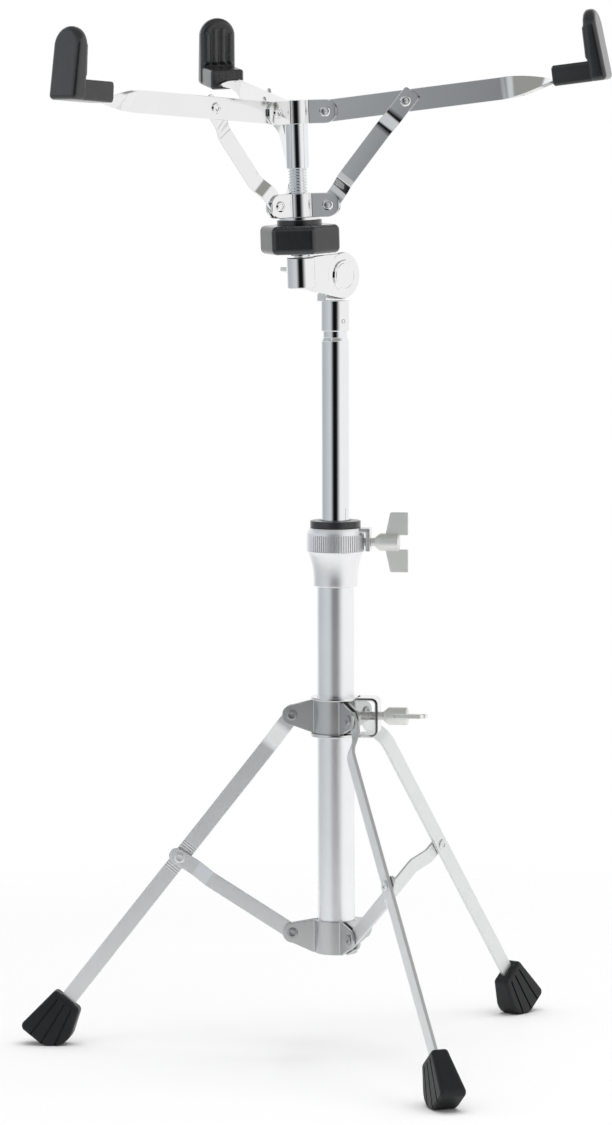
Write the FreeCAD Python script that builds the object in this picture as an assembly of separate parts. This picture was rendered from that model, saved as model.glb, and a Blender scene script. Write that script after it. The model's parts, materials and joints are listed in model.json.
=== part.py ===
import FreeCAD, Part
import math
import os

from FreeCAD import Vector

# A folding snare drum stand. Millimetres and degrees.
# The origin is on the floor, on the axis of the base tube. +Z is up.
# A spoke frame has X outward, Y sideways (anticlockwise from above) and Z up.

# Shared values
spokes = 3
overrun = 1.0
running_clearance = 0.05
slide_clearance = 0.1
side_clearance = 0.15
layer_gap = 0.35

# Base tube
base_tube_od = 25.4
base_tube_wall = 1.6

# Tripod linkage
first_leg_azimuth = 172.3
leg_pivot_radius = 29.9
upper_pivot_height = 234.6
lower_pivot_height = 83.7
leg_angle = 38.2
leg_to_stay = 129.1

# Leg strips
leg_width = 11.2
leg_thickness = 2.5
leg_tab = 12.5
leg_joggle_run = 14.0
leg_offset = 8.5
foot_top_height = 32.4
leg_in_foot = 24.0

# Leg stay strips
stay_width = 10.9
stay_thickness = 2.0
stay_tab = 13.5
stay_joggle_run = 12.0
stay_tail = 2.6

# Pressed plates of the two leg collars
collar_plate_thickness = 2.0
collar_ear_tip = 7.0
lower_plate_below = 13.1
lower_plate_above = 9.8
upper_plate_below = 12.0
upper_plate_above = 11.0

# Pivot rivets
rivet_radius = 2.2
rivet_head_radius = 3.7
rivet_head_height = 1.2
boss_height = 1.0

# Rubber feet
foot_length = 36.0
foot_top_half_width = 10.9
foot_bottom_outer = 15.0
foot_bottom_inner = 23.9
foot_rocker_radius = 15.3
foot_corner_radius = 3.0
foot_top_half_depth = 5.8
foot_bottom_half_depth = 9.5
foot_groove_width = 1.2
foot_groove_depth = 1.4
foot_lip = 4.0
foot_grooves = 3

# Strap that clamps the upper leg collar
strap_thickness = 2.2
strap_width = 19.0
strap_reach = 30.2
strap_ring_wall = 4.6
strap_bend_radius = 4.5

# Wing screws
wing_hub_radius = 6.1
wing_hub_length = 16.4
wing_neck_radius = 3.6
wing_neck_length = 3.2
wing_start = 6.8
wing_lean = 3.4
wing_span = 41.0
wing_blade = 3.2
wing_reach = 22.4
leg_wing_reach = 27.6
leg_wing_turn = -6.0
screw_radius = 3.0
screw_stand_off = 3.2

# Height clamp casting
clamp_bottom = 323.5
clamp_skirt = 3.0
clamp_skirt_radius = 15.0
clamp_flare_height = 20.3
clamp_flare_power = 2.3
clamp_flare_steps = 6
clamp_band_radius = 19.7
clamp_band_height = 12.4
clamp_crown_height = 4.4
clamp_rim_radius = 17.8
clamp_knurl_depth = 0.7
clamp_ribs = 72
clamp_plain_angle = 48.0
clamp_rib_shares = (0.0, 0.3, 0.7)
clamp_screw_drop = 9.7
clamp_lug_reach = 24.4
clamp_lug_width = 13.0
clamp_lug_below = 6.2
clamp_lug_roof = 3.0
clamp_lug_wall = 3.0

# Nylon bushing of the height clamp
bushing_flange_radius = 17.3
bushing_flange_height = 5.0
bushing_length = 32.0
bushing_slot = 2.0

# Upper tube and its guide plug
upper_tube_od = 19.05
upper_tube_wall = 1.4
upper_tube_bottom = 250.0
upper_tube_shoulder = 491.0
neck_radius = 8.3
neck_taper = 2.6
neck_roof = 5.2
plug_spigot_length = 14.0
plug_flange_height = 12.0
plug_bore_radius = 4.5

# Tilter
tilt_azimuth = 226.0
rest_tilt = 2.33
tilter_base_step = 6.7
tilter_base_radius = 9.7
tilter_stem_height = 21.2
tilter_pin_rise = 7.0
tilter_pin_radius = 1.5
tilter_pin_azimuth = 306.0
jaw_radius = 16.0
jaw_thickness = 8.6
jaw_gap = 0.3
jaw_relief = 0.8
tilter_reach = 38.6
tilter_side = 5.6
socket_radius = 9.6
socket_below = 6.2
socket_above = 14.8
tilter_bolt_radius = 4.0
tilter_cap_radius = 10.8
tilter_cap_edge = 1.2
tilter_cap_dome = 1.2
tilter_cap_rim = 1.6
tilter_bolt_tail = 23.0
tilter_wing_span = 44.0
tilter_wing_turn = 11.0

# Basket post, measured from the tilt axis
post_radius = 7.8
post_spigot_radius = 4.2
post_spigot_length = 17.0
thread_radius = 6.5
thread_depth = 0.75
thread_pitch = 2.0
thread_top = 74.4

# Basket hubs and linkage, measured from the tilt axis
hub_pivot_radius = 20.8
lower_hub_height = 49.8
hub_spacing = 62.4
hub_plate_thickness = 2.0
hub_half_height = 8.0
hub_ear_tip = 8.0
arm_rise = 5.73
arm_to_stay = 55.8
washer_radius = 14.0
washer_thickness = 1.6

# Basket adjusting knob
knob_sides = 6
knob_height = 19.2
knob_width = 48.0
knob_corner_radius = 4.0
knob_edge_radius = 3.8
knob_boss_radius = 15.2
knob_boss_height = 3.6
knob_phase = 3.5

# Basket arms
arm_width = 15.0
arm_thickness = 2.4
arm_flat_length = 120.0
arm_twist_length = 38.0
arm_twist_steps = 8
arm_end_length = 31.5
arm_end_rise = 34.0

# Basket stay strips
basket_stay_width = 12.0
basket_stay_thickness = 2.0
basket_stay_offset = 6.6
basket_stay_tab = 12.0
basket_stay_run = 9.0
basket_stay_end = 13.0
basket_stay_tail = 8.0

# Rubber tips of the basket arms
tip_sleeve_half_width = 11.8
tip_sleeve_below = 3.0
tip_sleeve_above = 10.7
tip_half_width = 12.6
tip_height = 44.4
tip_foot_thickness = 12.2
tip_head_thickness = 8.2
tip_ribs = 4
tip_rib_radius = 4.0
tip_rib_proud = 1.1
tip_rib_margin = 1.3
tip_rib_clear = 5.0

# Sizes that follow from the ones above
base_tube_radius = base_tube_od / 2
base_bore_radius = base_tube_radius - base_tube_wall
upper_tube_radius = upper_tube_od / 2
upper_bore_radius = upper_tube_radius - upper_tube_wall
base_tube_bottom = lower_pivot_height - lower_plate_below
leg_visible = (upper_pivot_height - foot_top_height) / math.cos(math.radians(leg_angle))
leg_length = leg_visible + leg_in_foot
stay_lift = upper_pivot_height - lower_pivot_height - leg_to_stay * math.cos(math.radians(leg_angle))
stay_spread = leg_to_stay * math.sin(math.radians(leg_angle))
stay_length = math.hypot(stay_lift, stay_spread)
stay_angle = math.degrees(math.atan2(stay_spread, stay_lift))
stay_tab_side = -leg_offset + leg_thickness / 2 + layer_gap + stay_thickness / 2
leg_gap = leg_thickness + 2 * side_clearance
stay_gap = stay_thickness + 2 * side_clearance
arm_gap = arm_thickness + 2 * side_clearance
basket_stay_gap = basket_stay_thickness + 2 * side_clearance
upper_hub_height = lower_hub_height + hub_spacing
basket_stay_lift = hub_spacing + arm_to_stay * math.sin(math.radians(arm_rise))
basket_stay_spread = arm_to_stay * math.cos(math.radians(arm_rise))
basket_stay_length = math.hypot(basket_stay_lift, basket_stay_spread)
basket_stay_angle = math.degrees(math.atan2(basket_stay_spread, basket_stay_lift))
basket_stay_side = -(arm_thickness + basket_stay_thickness) / 2 - layer_gap
arm_straight = arm_flat_length + arm_twist_length
tilter_base_bottom = upper_tube_shoulder + tilter_base_step
tilter_pin_height = tilter_base_bottom + tilter_pin_rise
tilt_height = tilter_base_bottom + tilter_stem_height + jaw_relief + jaw_radius
neck_in_socket = tilter_stem_height - neck_roof
clamp_flare_top = clamp_bottom + clamp_skirt + clamp_flare_height
clamp_band_top = clamp_flare_top + clamp_band_height
clamp_top = clamp_band_top + clamp_crown_height
clamp_screw_height = clamp_top - clamp_screw_drop
clamp_azimuth = first_leg_azimuth + 180
collar_bore = base_tube_radius + slide_clearance
spoke_step = 360 / spokes

X = Vector(1, 0, 0)
Y = Vector(0, 1, 0)
Z = Vector(0, 0, 1)
HERE = Vector(0, 0, 0)


def turned(shape, axis, degrees):
    copy = shape.copy()
    copy.rotate(HERE, axis, degrees)
    return copy


def moved(shape, x, y, z):
    copy = shape.copy()
    copy.translate(Vector(x, y, z))
    return copy


def spoke(shape, azimuth):
    return turned(shape, Z, azimuth)


def joined(shapes):
    return shapes[0].fuse(shapes[1:]).removeSplitter()


def prism(points, direction):
    corners = [Vector(*p) for p in points]
    return Part.Face(Part.makePolygon(corners + corners[:1])).extrude(direction)


def rod(radius, low, high, axis=Z, x=0.0, y=0.0):
    start = Vector(x, y, 0) + axis * low
    return Part.makeCylinder(radius, high - low, start, axis)


def turned_profile(points):
    corners = [Vector(r, 0, z) for r, z in points]
    return Part.Face(Part.makePolygon(corners + corners[:1])).revolve(HERE, Z, 360)


def dome(radius, height, place, direction):
    ball = (radius ** 2 + height ** 2) / (2 * height)
    sphere = Part.makeSphere(ball, place + direction * (height - ball))
    return sphere.common(Part.makeCylinder(radius, height, place, direction))


def round_start(length, width, depth):
    # outline of a strip that starts as a half circle about its first pivot
    half = width / 2
    bar = Part.makeBox(length, 2 * depth, width, Vector(0, -depth, -half))
    return joined([bar, rod(half, -depth, depth, Y)])


def rounded_ends(length, width, depth):
    # outline of a strip whose two ends are half circles, the first one about a pivot
    last = moved(rod(width / 2, -depth, depth, Y), length, 0, 0)
    return joined([round_start(length, width, depth), last])


def strip(path, thickness, width):
    # a flat strip along X: path gives the side offset of its middle at each place
    half = thickness / 2
    left = [(x, y + half, -width / 2) for x, y in path]
    right = [(x, y - half, -width / 2) for x, y in reversed(path)]
    return prism(left + right, Z * width)


# Hubs and collars
def ear(bore, pivot, tip, below, above, side, thickness):
    outline = [(bore, -below), (pivot, -tip), (pivot, tip), (bore, above)]
    blade = prism([(x, side, z) for x, z in outline], Y * thickness)
    end = moved(rod(tip, side, side + thickness, Y), pivot, 0, 0)
    return joined([blade, end])


def hub_plate(bore, thickness, gap, pivot, tip, below, above):
    # one pressed plate: it wraps a third of the tube and turns out into an ear at each end
    tall = below + above
    wrap = Part.makeCylinder(bore + thickness, tall, Vector(0, 0, -below), Z, spoke_step)
    first = ear(bore, pivot, tip, below, above, gap / 2, thickness)
    last = ear(bore, pivot, tip, below, above, -gap / 2 - thickness, thickness)
    plate = wrap.fuse([first, spoke(last, spoke_step)])
    reach = pivot + tip + overrun
    slot = Part.makeBox(reach, gap, tall + 2 * overrun, Vector(0, -gap / 2, -below - overrun))
    hole = moved(rod(rivet_radius, -reach, reach, Y), pivot, 0, 0)
    core = rod(bore, -below - overrun, above + overrun)
    cutters = [core, slot, spoke(slot, spoke_step)]
    near = hole.common(Part.makeBox(reach, reach, reach, Vector(0, 0, -reach / 2)))
    far = hole.common(Part.makeBox(reach, reach, reach, Vector(0, -reach, -reach / 2)))
    return plate.cut(cutters + [near, spoke(far, spoke_step)]).removeSplitter()


def pivot_rivet(gap, thickness, pivot):
    reach = gap / 2 + thickness
    shank = rod(rivet_radius, -reach, reach, Y)
    near = dome(rivet_head_radius, rivet_head_height, Y * reach, Y)
    far = dome(rivet_head_radius, rivet_head_height, Y * -reach, Y * -1)
    return moved(joined([shank, near, far]), pivot, 0, 0)


# Tripod
def leg_shape():
    end = leg_tab + leg_joggle_run
    path = [(-leg_width / 2, 0.0), (leg_tab, 0.0), (end, -leg_offset), (leg_length, -leg_offset)]
    body = strip(path, leg_thickness, leg_width)
    body = body.common(rounded_ends(leg_length, leg_width, leg_offset + leg_thickness))
    depth = leg_offset + leg_thickness
    top = rod(rivet_radius + running_clearance, -depth, depth, Y)
    middle = moved(rod(rivet_radius, -depth, depth, Y), leg_to_stay, 0, 0)
    return body.cut([top, middle])


def leg_rivet_shape():
    outer = -leg_offset - leg_thickness / 2
    shank = rod(rivet_radius, outer, outer + leg_thickness, Y)
    head = dome(rivet_head_radius, rivet_head_height, Y * outer, Y * -1)
    return moved(joined([shank, head]), leg_to_stay, 0, 0)


def stay_shape():
    bend = stay_length - stay_tab
    start = bend - stay_joggle_run
    path = [(-stay_width / 2, 0.0), (start, 0.0), (bend, stay_tab_side)]
    end = stay_length + stay_tail
    path.append((end + stay_width / 2, stay_tab_side))
    body = strip(path, stay_thickness, stay_width)
    body = body.common(rounded_ends(end, stay_width, leg_offset))
    hole = rod(rivet_radius + running_clearance, -leg_offset, leg_offset, Y)
    boss = dome(rivet_head_radius, boss_height, Y * (stay_tab_side + stay_thickness / 2), Y)
    return body.cut(hole).fuse(moved(boss, stay_length, 0, 0))


def foot_wedge(inset):
    # what lies between the two broad faces of a foot, which spread towards the floor
    near, far = foot_top_half_depth - inset, foot_bottom_half_depth - inset
    wide = foot_bottom_inner + overrun
    corners = [(0.0, -near), (foot_length, -far), (foot_length, far), (0.0, near)]
    return prism([(x, y, -wide) for x, y in corners], Z * (2 * wide))


def foot_shape():
    # a fan: straight sides, a round rocker at its inner corner and grooves in both broad faces
    side = foot_bottom_half_depth
    top = foot_top_half_width
    inner, outer = foot_bottom_inner, foot_bottom_outer
    corners = [(0.0, -top), (foot_length, -inner), (foot_length, outer), (0.0, top)]
    fan = prism([(x, -side, z) for x, z in corners], Y * (2 * side))
    low = [e for e in fan.Edges if e.BoundBox.XMin > foot_length / 2 and e.BoundBox.YLength > side]
    fan = fan.makeFillet(foot_rocker_radius, [e for e in low if e.BoundBox.ZMax < 0])
    low = [e for e in fan.Edges if e.BoundBox.ZMin > top and e.BoundBox.YLength > side]
    fan = fan.makeFillet(foot_corner_radius, low).common(foot_wedge(0.0))
    skin = foot_wedge(0.0).cut(foot_wedge(foot_groove_depth))
    half = foot_groove_width / 2
    grooves = []
    for groove in range(foot_grooves):
        share = (groove + 1) / (foot_grooves + 1)
        head = -top + 2 * top * share
        tail = -inner + (inner + outer) * share
        corners = [(foot_lip, head - half), (foot_length + overrun, tail - half)]
        corners += [(foot_length + overrun, tail + half), (foot_lip, head + half)]
        grooves.append(prism([(x, -side, z) for x, z in corners], Y * (2 * side)).common(skin))
    return moved(fan.cut(grooves), leg_visible, -leg_offset, 0)


def placed_leg(shape, azimuth):
    lifted = moved(turned(shape, Y, 90 - leg_angle), leg_pivot_radius, 0, upper_pivot_height)
    return spoke(lifted, azimuth)


def placed_stay(shape, azimuth):
    lifted = moved(turned(shape, Y, stay_angle - 90), leg_pivot_radius, 0, lower_pivot_height)
    return spoke(lifted, azimuth)


def on_floor(shape):
    box = shape.BoundBox
    tall = box.DiagonalLength
    below = Part.makeBox(2 * tall, 2 * tall, tall, Vector(box.Center.x - tall, box.Center.y - tall, -tall))
    return shape.cut(below)


def strap_shape():
    # a bent strap: a ring above and a ring below the collar, and a wall that takes the screw
    ring = base_tube_radius + slide_clearance + strap_ring_wall
    low, high = -upper_plate_below - strap_thickness, upper_plate_above + strap_thickness
    half = strap_width / 2
    block = Part.makeBox(strap_reach, strap_width, high - low, Vector(0, -half, low))
    bends = [e for e in block.Edges if abs(e.BoundBox.XMin - strap_reach) < running_clearance]
    bends = [e for e in bends if e.BoundBox.YLength > half]
    block = block.makeFillet(strap_bend_radius, bends).fuse(rod(ring, low, high))
    room = Part.makeBox(2 * strap_reach - strap_thickness, 2 * strap_reach,
                        upper_plate_below + upper_plate_above,
                        Vector(-strap_reach, -strap_reach, -upper_plate_below))
    bore = rod(collar_bore, low - overrun, high + overrun)
    hole = rod(screw_radius + running_clearance, 0, strap_reach + overrun, X)
    return block.cut([room, bore, hole]).removeSplitter()


# Wing screws and the wing nut
def wing_head(start, span, reach):
    neck = Part.makeCone(wing_neck_radius, wing_hub_radius, wing_neck_length, X * start, X)
    hub = rod(wing_hub_radius, start + wing_neck_length, start + wing_hub_length, X)
    tail = start + wing_hub_length
    near, far = start + wing_start, start + reach
    corners = [(near, 0.0), (near + wing_lean, span / 2), (far, span / 2), (far, wing_hub_radius)]
    corners += [(tail, wing_hub_radius), (tail, 0.0)]
    blade = prism([(x, -wing_blade / 2, z) for x, z in corners], Y * wing_blade)
    return joined([neck, hub, blade, turned(blade, X, 180)])


def wing_screw(tip, start, span, reach):
    return joined([rod(screw_radius, tip, start + wing_neck_length, X), wing_head(start, span, reach)])


# Height clamp
def clamp_band():
    # ribs all round, apart from a plain arc opposite the lug
    points = []
    for rib in range(clamp_ribs):
        for share, depth in zip(clamp_rib_shares, (clamp_knurl_depth, 0.0, 0.0)):
            angle = 360 * (rib + share) / clamp_ribs
            plain = abs(angle - 180) < clamp_plain_angle
            radius = clamp_band_radius - (0.0 if plain else depth)
            turn = math.radians(angle)
            points.append((radius * math.cos(turn), radius * math.sin(turn), clamp_flare_top))
    return prism(points, Z * (clamp_band_top - clamp_flare_top))


def clamp_screw_hole():
    hole = rod(screw_radius + running_clearance, 0, clamp_lug_reach + overrun, X)
    return moved(hole, 0, 0, clamp_screw_height)


def clamp_shape():
    inner = clamp_band_radius - clamp_knurl_depth
    skirt = clamp_bottom + clamp_skirt
    points = [(0.0, clamp_bottom), (clamp_skirt_radius, clamp_bottom), (clamp_skirt_radius, skirt)]
    for step in range(clamp_flare_steps):
        share = (step + 1) / clamp_flare_steps
        radius = clamp_skirt_radius + (inner - clamp_skirt_radius) * share ** clamp_flare_power
        points.append((radius, skirt + clamp_flare_height * share))
    points += [(inner, clamp_band_top), (clamp_rim_radius, clamp_top), (0.0, clamp_top)]
    body = turned_profile(points)
    low = clamp_screw_height - clamp_lug_below
    roof = clamp_top - clamp_lug_roof
    half = clamp_lug_width / 2
    lug = Part.makeBox(clamp_lug_reach, clamp_lug_width, clamp_top - low, Vector(0, -half, low))
    wall = clamp_lug_reach - clamp_lug_wall
    relief = Part.makeBox(wall - clamp_band_radius, clamp_lug_width + 2 * overrun, roof - low + overrun,
                          Vector(clamp_band_radius, -half - overrun, low - overrun))
    bore = rod(base_tube_radius, clamp_bottom - overrun, clamp_top + overrun)
    return joined([body, clamp_band(), lug.cut(relief)]).cut([bore, clamp_screw_hole()])


def base_tube_shape():
    outer = rod(base_tube_radius, base_tube_bottom, clamp_top)
    bore = rod(base_bore_radius, base_tube_bottom - overrun, clamp_top + overrun)
    return outer.cut([bore, spoke(clamp_screw_hole(), clamp_azimuth)])


def bushing_shape():
    low = clamp_top - bushing_length
    top = clamp_top + bushing_flange_height
    flange = rod(bushing_flange_radius, clamp_top, top)
    sleeve = rod(base_bore_radius, low, clamp_top)
    bore = rod(upper_tube_radius + slide_clearance, low - overrun, top + overrun)
    slot = Part.makeBox(bushing_flange_radius + overrun, bushing_slot, top - low + 2 * overrun,
                        Vector(0, -bushing_slot / 2, low - overrun))
    return joined([flange, sleeve]).cut([bore, spoke(slot, 90)])


# Upper tube
def upper_tube_shape():
    top = tilter_base_bottom + neck_in_socket
    inner = neck_radius - upper_tube_wall
    taper = upper_tube_shoulder + neck_taper
    return turned_profile([
        (upper_bore_radius, upper_tube_bottom), (upper_tube_radius, upper_tube_bottom),
        (upper_tube_radius, upper_tube_shoulder), (neck_radius, taper), (neck_radius, top),
        (inner, top), (inner, taper), (upper_bore_radius, upper_tube_shoulder)])


def plug_shape():
    low = upper_tube_bottom - plug_flange_height
    top = upper_tube_bottom + plug_spigot_length
    flange = rod(base_bore_radius - slide_clearance, low, upper_tube_bottom)
    spigot = rod(upper_bore_radius - running_clearance, low, top)
    return joined([flange, spigot]).cut(rod(plug_bore_radius, low - overrun, top + overrun))


# Tilter, with X along its arm, Y along its axis and the tilt axis at the origin
def tilter_base_shape():
    low = tilter_base_bottom - tilt_height
    post = rod(tilter_base_radius, low, 0)
    jaw = rod(jaw_radius, -jaw_thickness, -jaw_gap / 2, Y)
    wide = jaw_radius + tilter_base_radius
    room = Part.makeBox(2 * wide, wide, jaw_radius + jaw_relief + wide,
                        Vector(-wide, -jaw_gap / 2, -jaw_radius - jaw_relief))
    back = Part.makeBox(2 * wide, wide, wide + jaw_radius,
                        Vector(-wide, -wide - jaw_thickness, -jaw_radius))
    socket = rod(neck_radius, low - overrun, low + neck_in_socket)
    hole = rod(tilter_bolt_radius + running_clearance, -wide, wide, Y)
    pin = tilter_pin_hole(0.0)
    return joined([post, jaw]).cut([room, back, socket, hole, pin])


def tilter_pin_hole(short):
    bar = rod(tilter_pin_radius, -tilter_base_radius + short, tilter_base_radius - short, X)
    return moved(spoke(bar, tilter_pin_azimuth - tilt_azimuth), 0, 0, tilter_pin_height - tilt_height)


def touch_angle(out, up):
    # where a line from the point (out, up) touches the round jaw
    return math.acos(jaw_radius / math.hypot(out, up)) + math.atan2(up, out)


def tilter_arm_shape():
    front = jaw_thickness
    back = jaw_gap / 2
    disc = rod(jaw_radius, back, front, Y)
    lean = touch_angle(tilter_reach, socket_below)
    rise = touch_angle(tilter_reach, socket_above)
    corners = [
        (jaw_radius * math.cos(lean), -jaw_radius * math.sin(lean)), (tilter_reach, -socket_below),
        (tilter_reach, socket_above), (jaw_radius * math.cos(rise), jaw_radius * math.sin(rise))]
    web = prism([(x, back, z) for x, z in corners], Y * (front - back))
    socket = moved(rod(socket_radius, -socket_below, socket_above), tilter_reach, tilter_side, 0)
    bore = moved(rod(post_spigot_radius, socket_above - post_spigot_length, socket_above + overrun),
                 tilter_reach, tilter_side, 0)
    seat = moved(rod(thread_radius, socket_above, jaw_radius + overrun), tilter_reach, tilter_side, 0)
    hole = rod(tilter_bolt_radius, 0, front + overrun, Y)
    return joined([disc, web, socket]).cut([bore, seat, hole])


def tilter_bolt_shape():
    edge = jaw_thickness + tilter_cap_edge
    shank = rod(tilter_bolt_radius, -jaw_thickness - tilter_bolt_tail, jaw_thickness, Y)
    cap = rod(tilter_cap_radius, jaw_thickness, edge, Y)
    face = dome(tilter_cap_radius - tilter_cap_rim, tilter_cap_dome, Y * edge, Y)
    return joined([shank, cap, face])


def tilter_wing_shape():
    head = wing_head(0.0, tilter_wing_span, wing_reach)
    bore = rod(tilter_bolt_radius + running_clearance, -overrun, wing_hub_length + overrun, X)
    nut = turned(head.cut(bore), X, 90 + tilter_wing_turn)
    return moved(turned(nut, Z, -90), 0, -jaw_thickness - jaw_gap, 0)


def upright(shape):
    return moved(spoke(shape, tilt_azimuth), 0, 0, tilt_height)


def tilted(shape):
    return upright(turned(shape, Y, rest_tilt))


def in_basket(shape):
    return tilted(moved(shape, tilter_reach, tilter_side, 0))


# Basket
def post_shape():
    low = socket_above - post_spigot_length
    top = upper_hub_height + hub_half_height
    root = thread_radius - thread_depth
    turns = int((thread_top - socket_above) / thread_pitch)
    start = thread_top - turns * thread_pitch
    points = [(0.0, low), (post_spigot_radius, low), (post_spigot_radius, socket_above)]
    points.append((root, socket_above))
    for turn in range(turns):
        foot = start + turn * thread_pitch
        points.append((root, foot))
        points.append((thread_radius, foot + thread_pitch / 4))
        points.append((thread_radius, foot + thread_pitch / 2))
    points += [(root, thread_top), (post_radius, thread_top), (post_radius, top), (0.0, top)]
    return turned_profile(points)


def knob_shape():
    top = lower_hub_height - hub_half_height - washer_thickness - knob_boss_height
    low = top - knob_height
    corner = knob_width / 2 / math.cos(math.pi / knob_sides)
    angles = [math.radians(knob_phase + 360 * k / knob_sides) for k in range(knob_sides)]
    hexagon = prism([(corner * math.cos(a), corner * math.sin(a), low) for a in angles], Z * knob_height)
    upright_edges = [e for e in hexagon.Edges if e.BoundBox.ZLength > knob_height / 2]
    body = hexagon.makeFillet(knob_corner_radius, upright_edges)
    rims = [e for e in body.Edges if e.BoundBox.ZLength < knob_height / 2]
    body = body.makeFillet(knob_edge_radius, rims)
    boss = rod(knob_boss_radius, top, top + knob_boss_height)
    bore = rod(thread_radius + running_clearance, low - overrun, top + knob_boss_height + overrun)
    return joined([body, boss]).cut(bore)


def washer_shape():
    top = lower_hub_height - hub_half_height
    disc = rod(washer_radius, top - washer_thickness, top)
    return disc.cut(rod(post_radius + slide_clearance, top - washer_thickness - overrun, top + overrun))


def arm_shape():
    # a flat strip on edge, a quarter twist, then a flat end that bends up inside the rubber tip
    half = arm_width / 2
    flat = strip([(-half, 0.0), (arm_flat_length, 0.0)], arm_thickness, arm_width)
    flat = flat.common(round_start(arm_flat_length, arm_width, arm_thickness))
    sections = []
    for step in range(arm_twist_steps + 1):
        share = step / arm_twist_steps
        place = arm_flat_length + arm_twist_length * share
        angle = 90 * share
        corners = [(arm_thickness, arm_width), (-arm_thickness, arm_width)]
        corners += [(-arm_thickness, -arm_width), (arm_thickness, -arm_width)]
        wire = Part.makePolygon([Vector(0, y / 2, z / 2) for y, z in corners + corners[:1]])
        sections.append(moved(turned(wire, X, -angle), place, 0, 0))
    twist = Part.makeLoft(sections, True, False)
    end = Part.makeBox(arm_end_length, arm_width, arm_thickness,
                       Vector(arm_straight, -half, -arm_thickness / 2))
    last = arm_straight + arm_end_length - arm_thickness
    rise = Part.makeBox(arm_thickness, arm_width, arm_end_rise, Vector(last, -half, -arm_thickness / 2))
    hub_hole = rod(rivet_radius + running_clearance, -arm_thickness, arm_thickness, Y)
    stay_hole = moved(rod(rivet_radius, -arm_thickness, arm_thickness, Y), arm_to_stay, 0, 0)
    return joined([flat, twist, end, rise]).cut([hub_hole, stay_hole])


def arm_rivet_shape():
    reach = arm_thickness / 2
    shank = rod(rivet_radius, -reach, reach, Y)
    head = dome(rivet_head_radius, rivet_head_height, Y * reach, Y)
    return moved(joined([shank, head]), arm_to_stay, 0, 0)


def basket_stay_shape():
    half = basket_stay_width / 2
    bend = basket_stay_tab + basket_stay_run
    last = basket_stay_length - basket_stay_end
    path = [(-half, 0.0), (basket_stay_tab, 0.0), (bend, -basket_stay_offset)]
    path += [(last - basket_stay_run, -basket_stay_offset), (last, basket_stay_side)]
    path.append((basket_stay_length + basket_stay_tail, basket_stay_side))
    body = strip(path, basket_stay_thickness, basket_stay_width)
    depth = basket_stay_offset + basket_stay_thickness
    body = body.common(round_start(basket_stay_length + basket_stay_tail, basket_stay_width, depth))
    hole = rod(rivet_radius + running_clearance, -depth, depth, Y)
    boss = dome(rivet_head_radius, boss_height, Y * (basket_stay_side - basket_stay_thickness / 2), Y * -1)
    return body.cut(hole).fuse(moved(boss, basket_stay_length, 0, 0))


def tip_shape():
    # an L of rubber: a sleeve on the arm's end and a tapering upright with a round head
    inner = arm_straight + arm_end_length - arm_thickness / 2 - tip_foot_thickness / 2
    outer = inner + tip_foot_thickness
    low, high = -tip_sleeve_below, tip_sleeve_above
    side = [(inner, low), (outer, low), (inner + tip_head_thickness, tip_height), (inner, tip_height)]
    upright_part = prism([(x, -tip_half_width, z) for x, z in side], Y * (2 * tip_half_width))
    face = rod(tip_half_width, 0, outer + overrun, X)
    head = moved(face, 0, 0, tip_height - tip_half_width)
    below = Part.makeBox(outer + overrun, 2 * tip_half_width, tip_height - tip_half_width - low,
                         Vector(0, -tip_half_width, low))
    upright_part = upright_part.common(head.fuse(below)).removeSplitter()
    sleeve = Part.makeBox(inner - arm_straight, 2 * tip_sleeve_half_width, high - low,
                          Vector(arm_straight, -tip_sleeve_half_width, low))
    body = joined([upright_part, sleeve])
    pitch = 2 * (tip_half_width - tip_rib_margin) / tip_ribs
    ribs = []
    for rib in range(tip_ribs):
        y = (rib - (tip_ribs - 1) / 2) * pitch
        top = tip_height - tip_rib_clear - abs(y) * tip_head_thickness / tip_half_width
        ribs.append(rod(tip_rib_radius, high, top, Z, inner + tip_rib_radius - tip_rib_proud, y))
    return body.fuse(ribs).removeSplitter()


def on_hub(shape, azimuth, height):
    return in_basket(moved(spoke(shape, azimuth), 0, 0, height))


def placed_arm(shape, azimuth):
    lifted = moved(turned(shape, Y, -arm_rise), hub_pivot_radius, 0, upper_hub_height)
    return in_basket(spoke(lifted, azimuth))


def placed_basket_stay(shape, azimuth):
    lifted = moved(turned(shape, Y, basket_stay_angle - 90), hub_pivot_radius, 0, lower_hub_height)
    return in_basket(spoke(lifted, azimuth))


def write(node, shapes):
    body = shapes[0] if len(shapes) == 1 else Part.makeCompound(shapes)
    body.exportStep(os.path.join("parts", node + ".step"))


def write_base():
    write("base_tube", [base_tube_shape()])
    plate = hub_plate(base_tube_radius, collar_plate_thickness, stay_gap, leg_pivot_radius, collar_ear_tip,
                      lower_plate_below, lower_plate_above)
    rivet = pivot_rivet(stay_gap, collar_plate_thickness, leg_pivot_radius)
    rivets = []
    for k in range(spokes):
        azimuth = first_leg_azimuth + k * spoke_step
        write("lower_plate_%d" % (k + 1), [moved(spoke(plate, azimuth), 0, 0, lower_pivot_height)])
        rivets.append(moved(spoke(rivet, azimuth), 0, 0, lower_pivot_height))
    write("lower_rivets", rivets)
    write("height_clamp", [spoke(clamp_shape(), clamp_azimuth)])
    write("height_bushing", [spoke(bushing_shape(), clamp_azimuth)])
    tip = base_bore_radius + layer_gap
    start = clamp_lug_reach + screw_stand_off
    screw = moved(wing_screw(tip, start, wing_span, wing_reach), 0, 0, clamp_screw_height)
    write("height_wing_screw", [spoke(screw, clamp_azimuth)])


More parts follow.
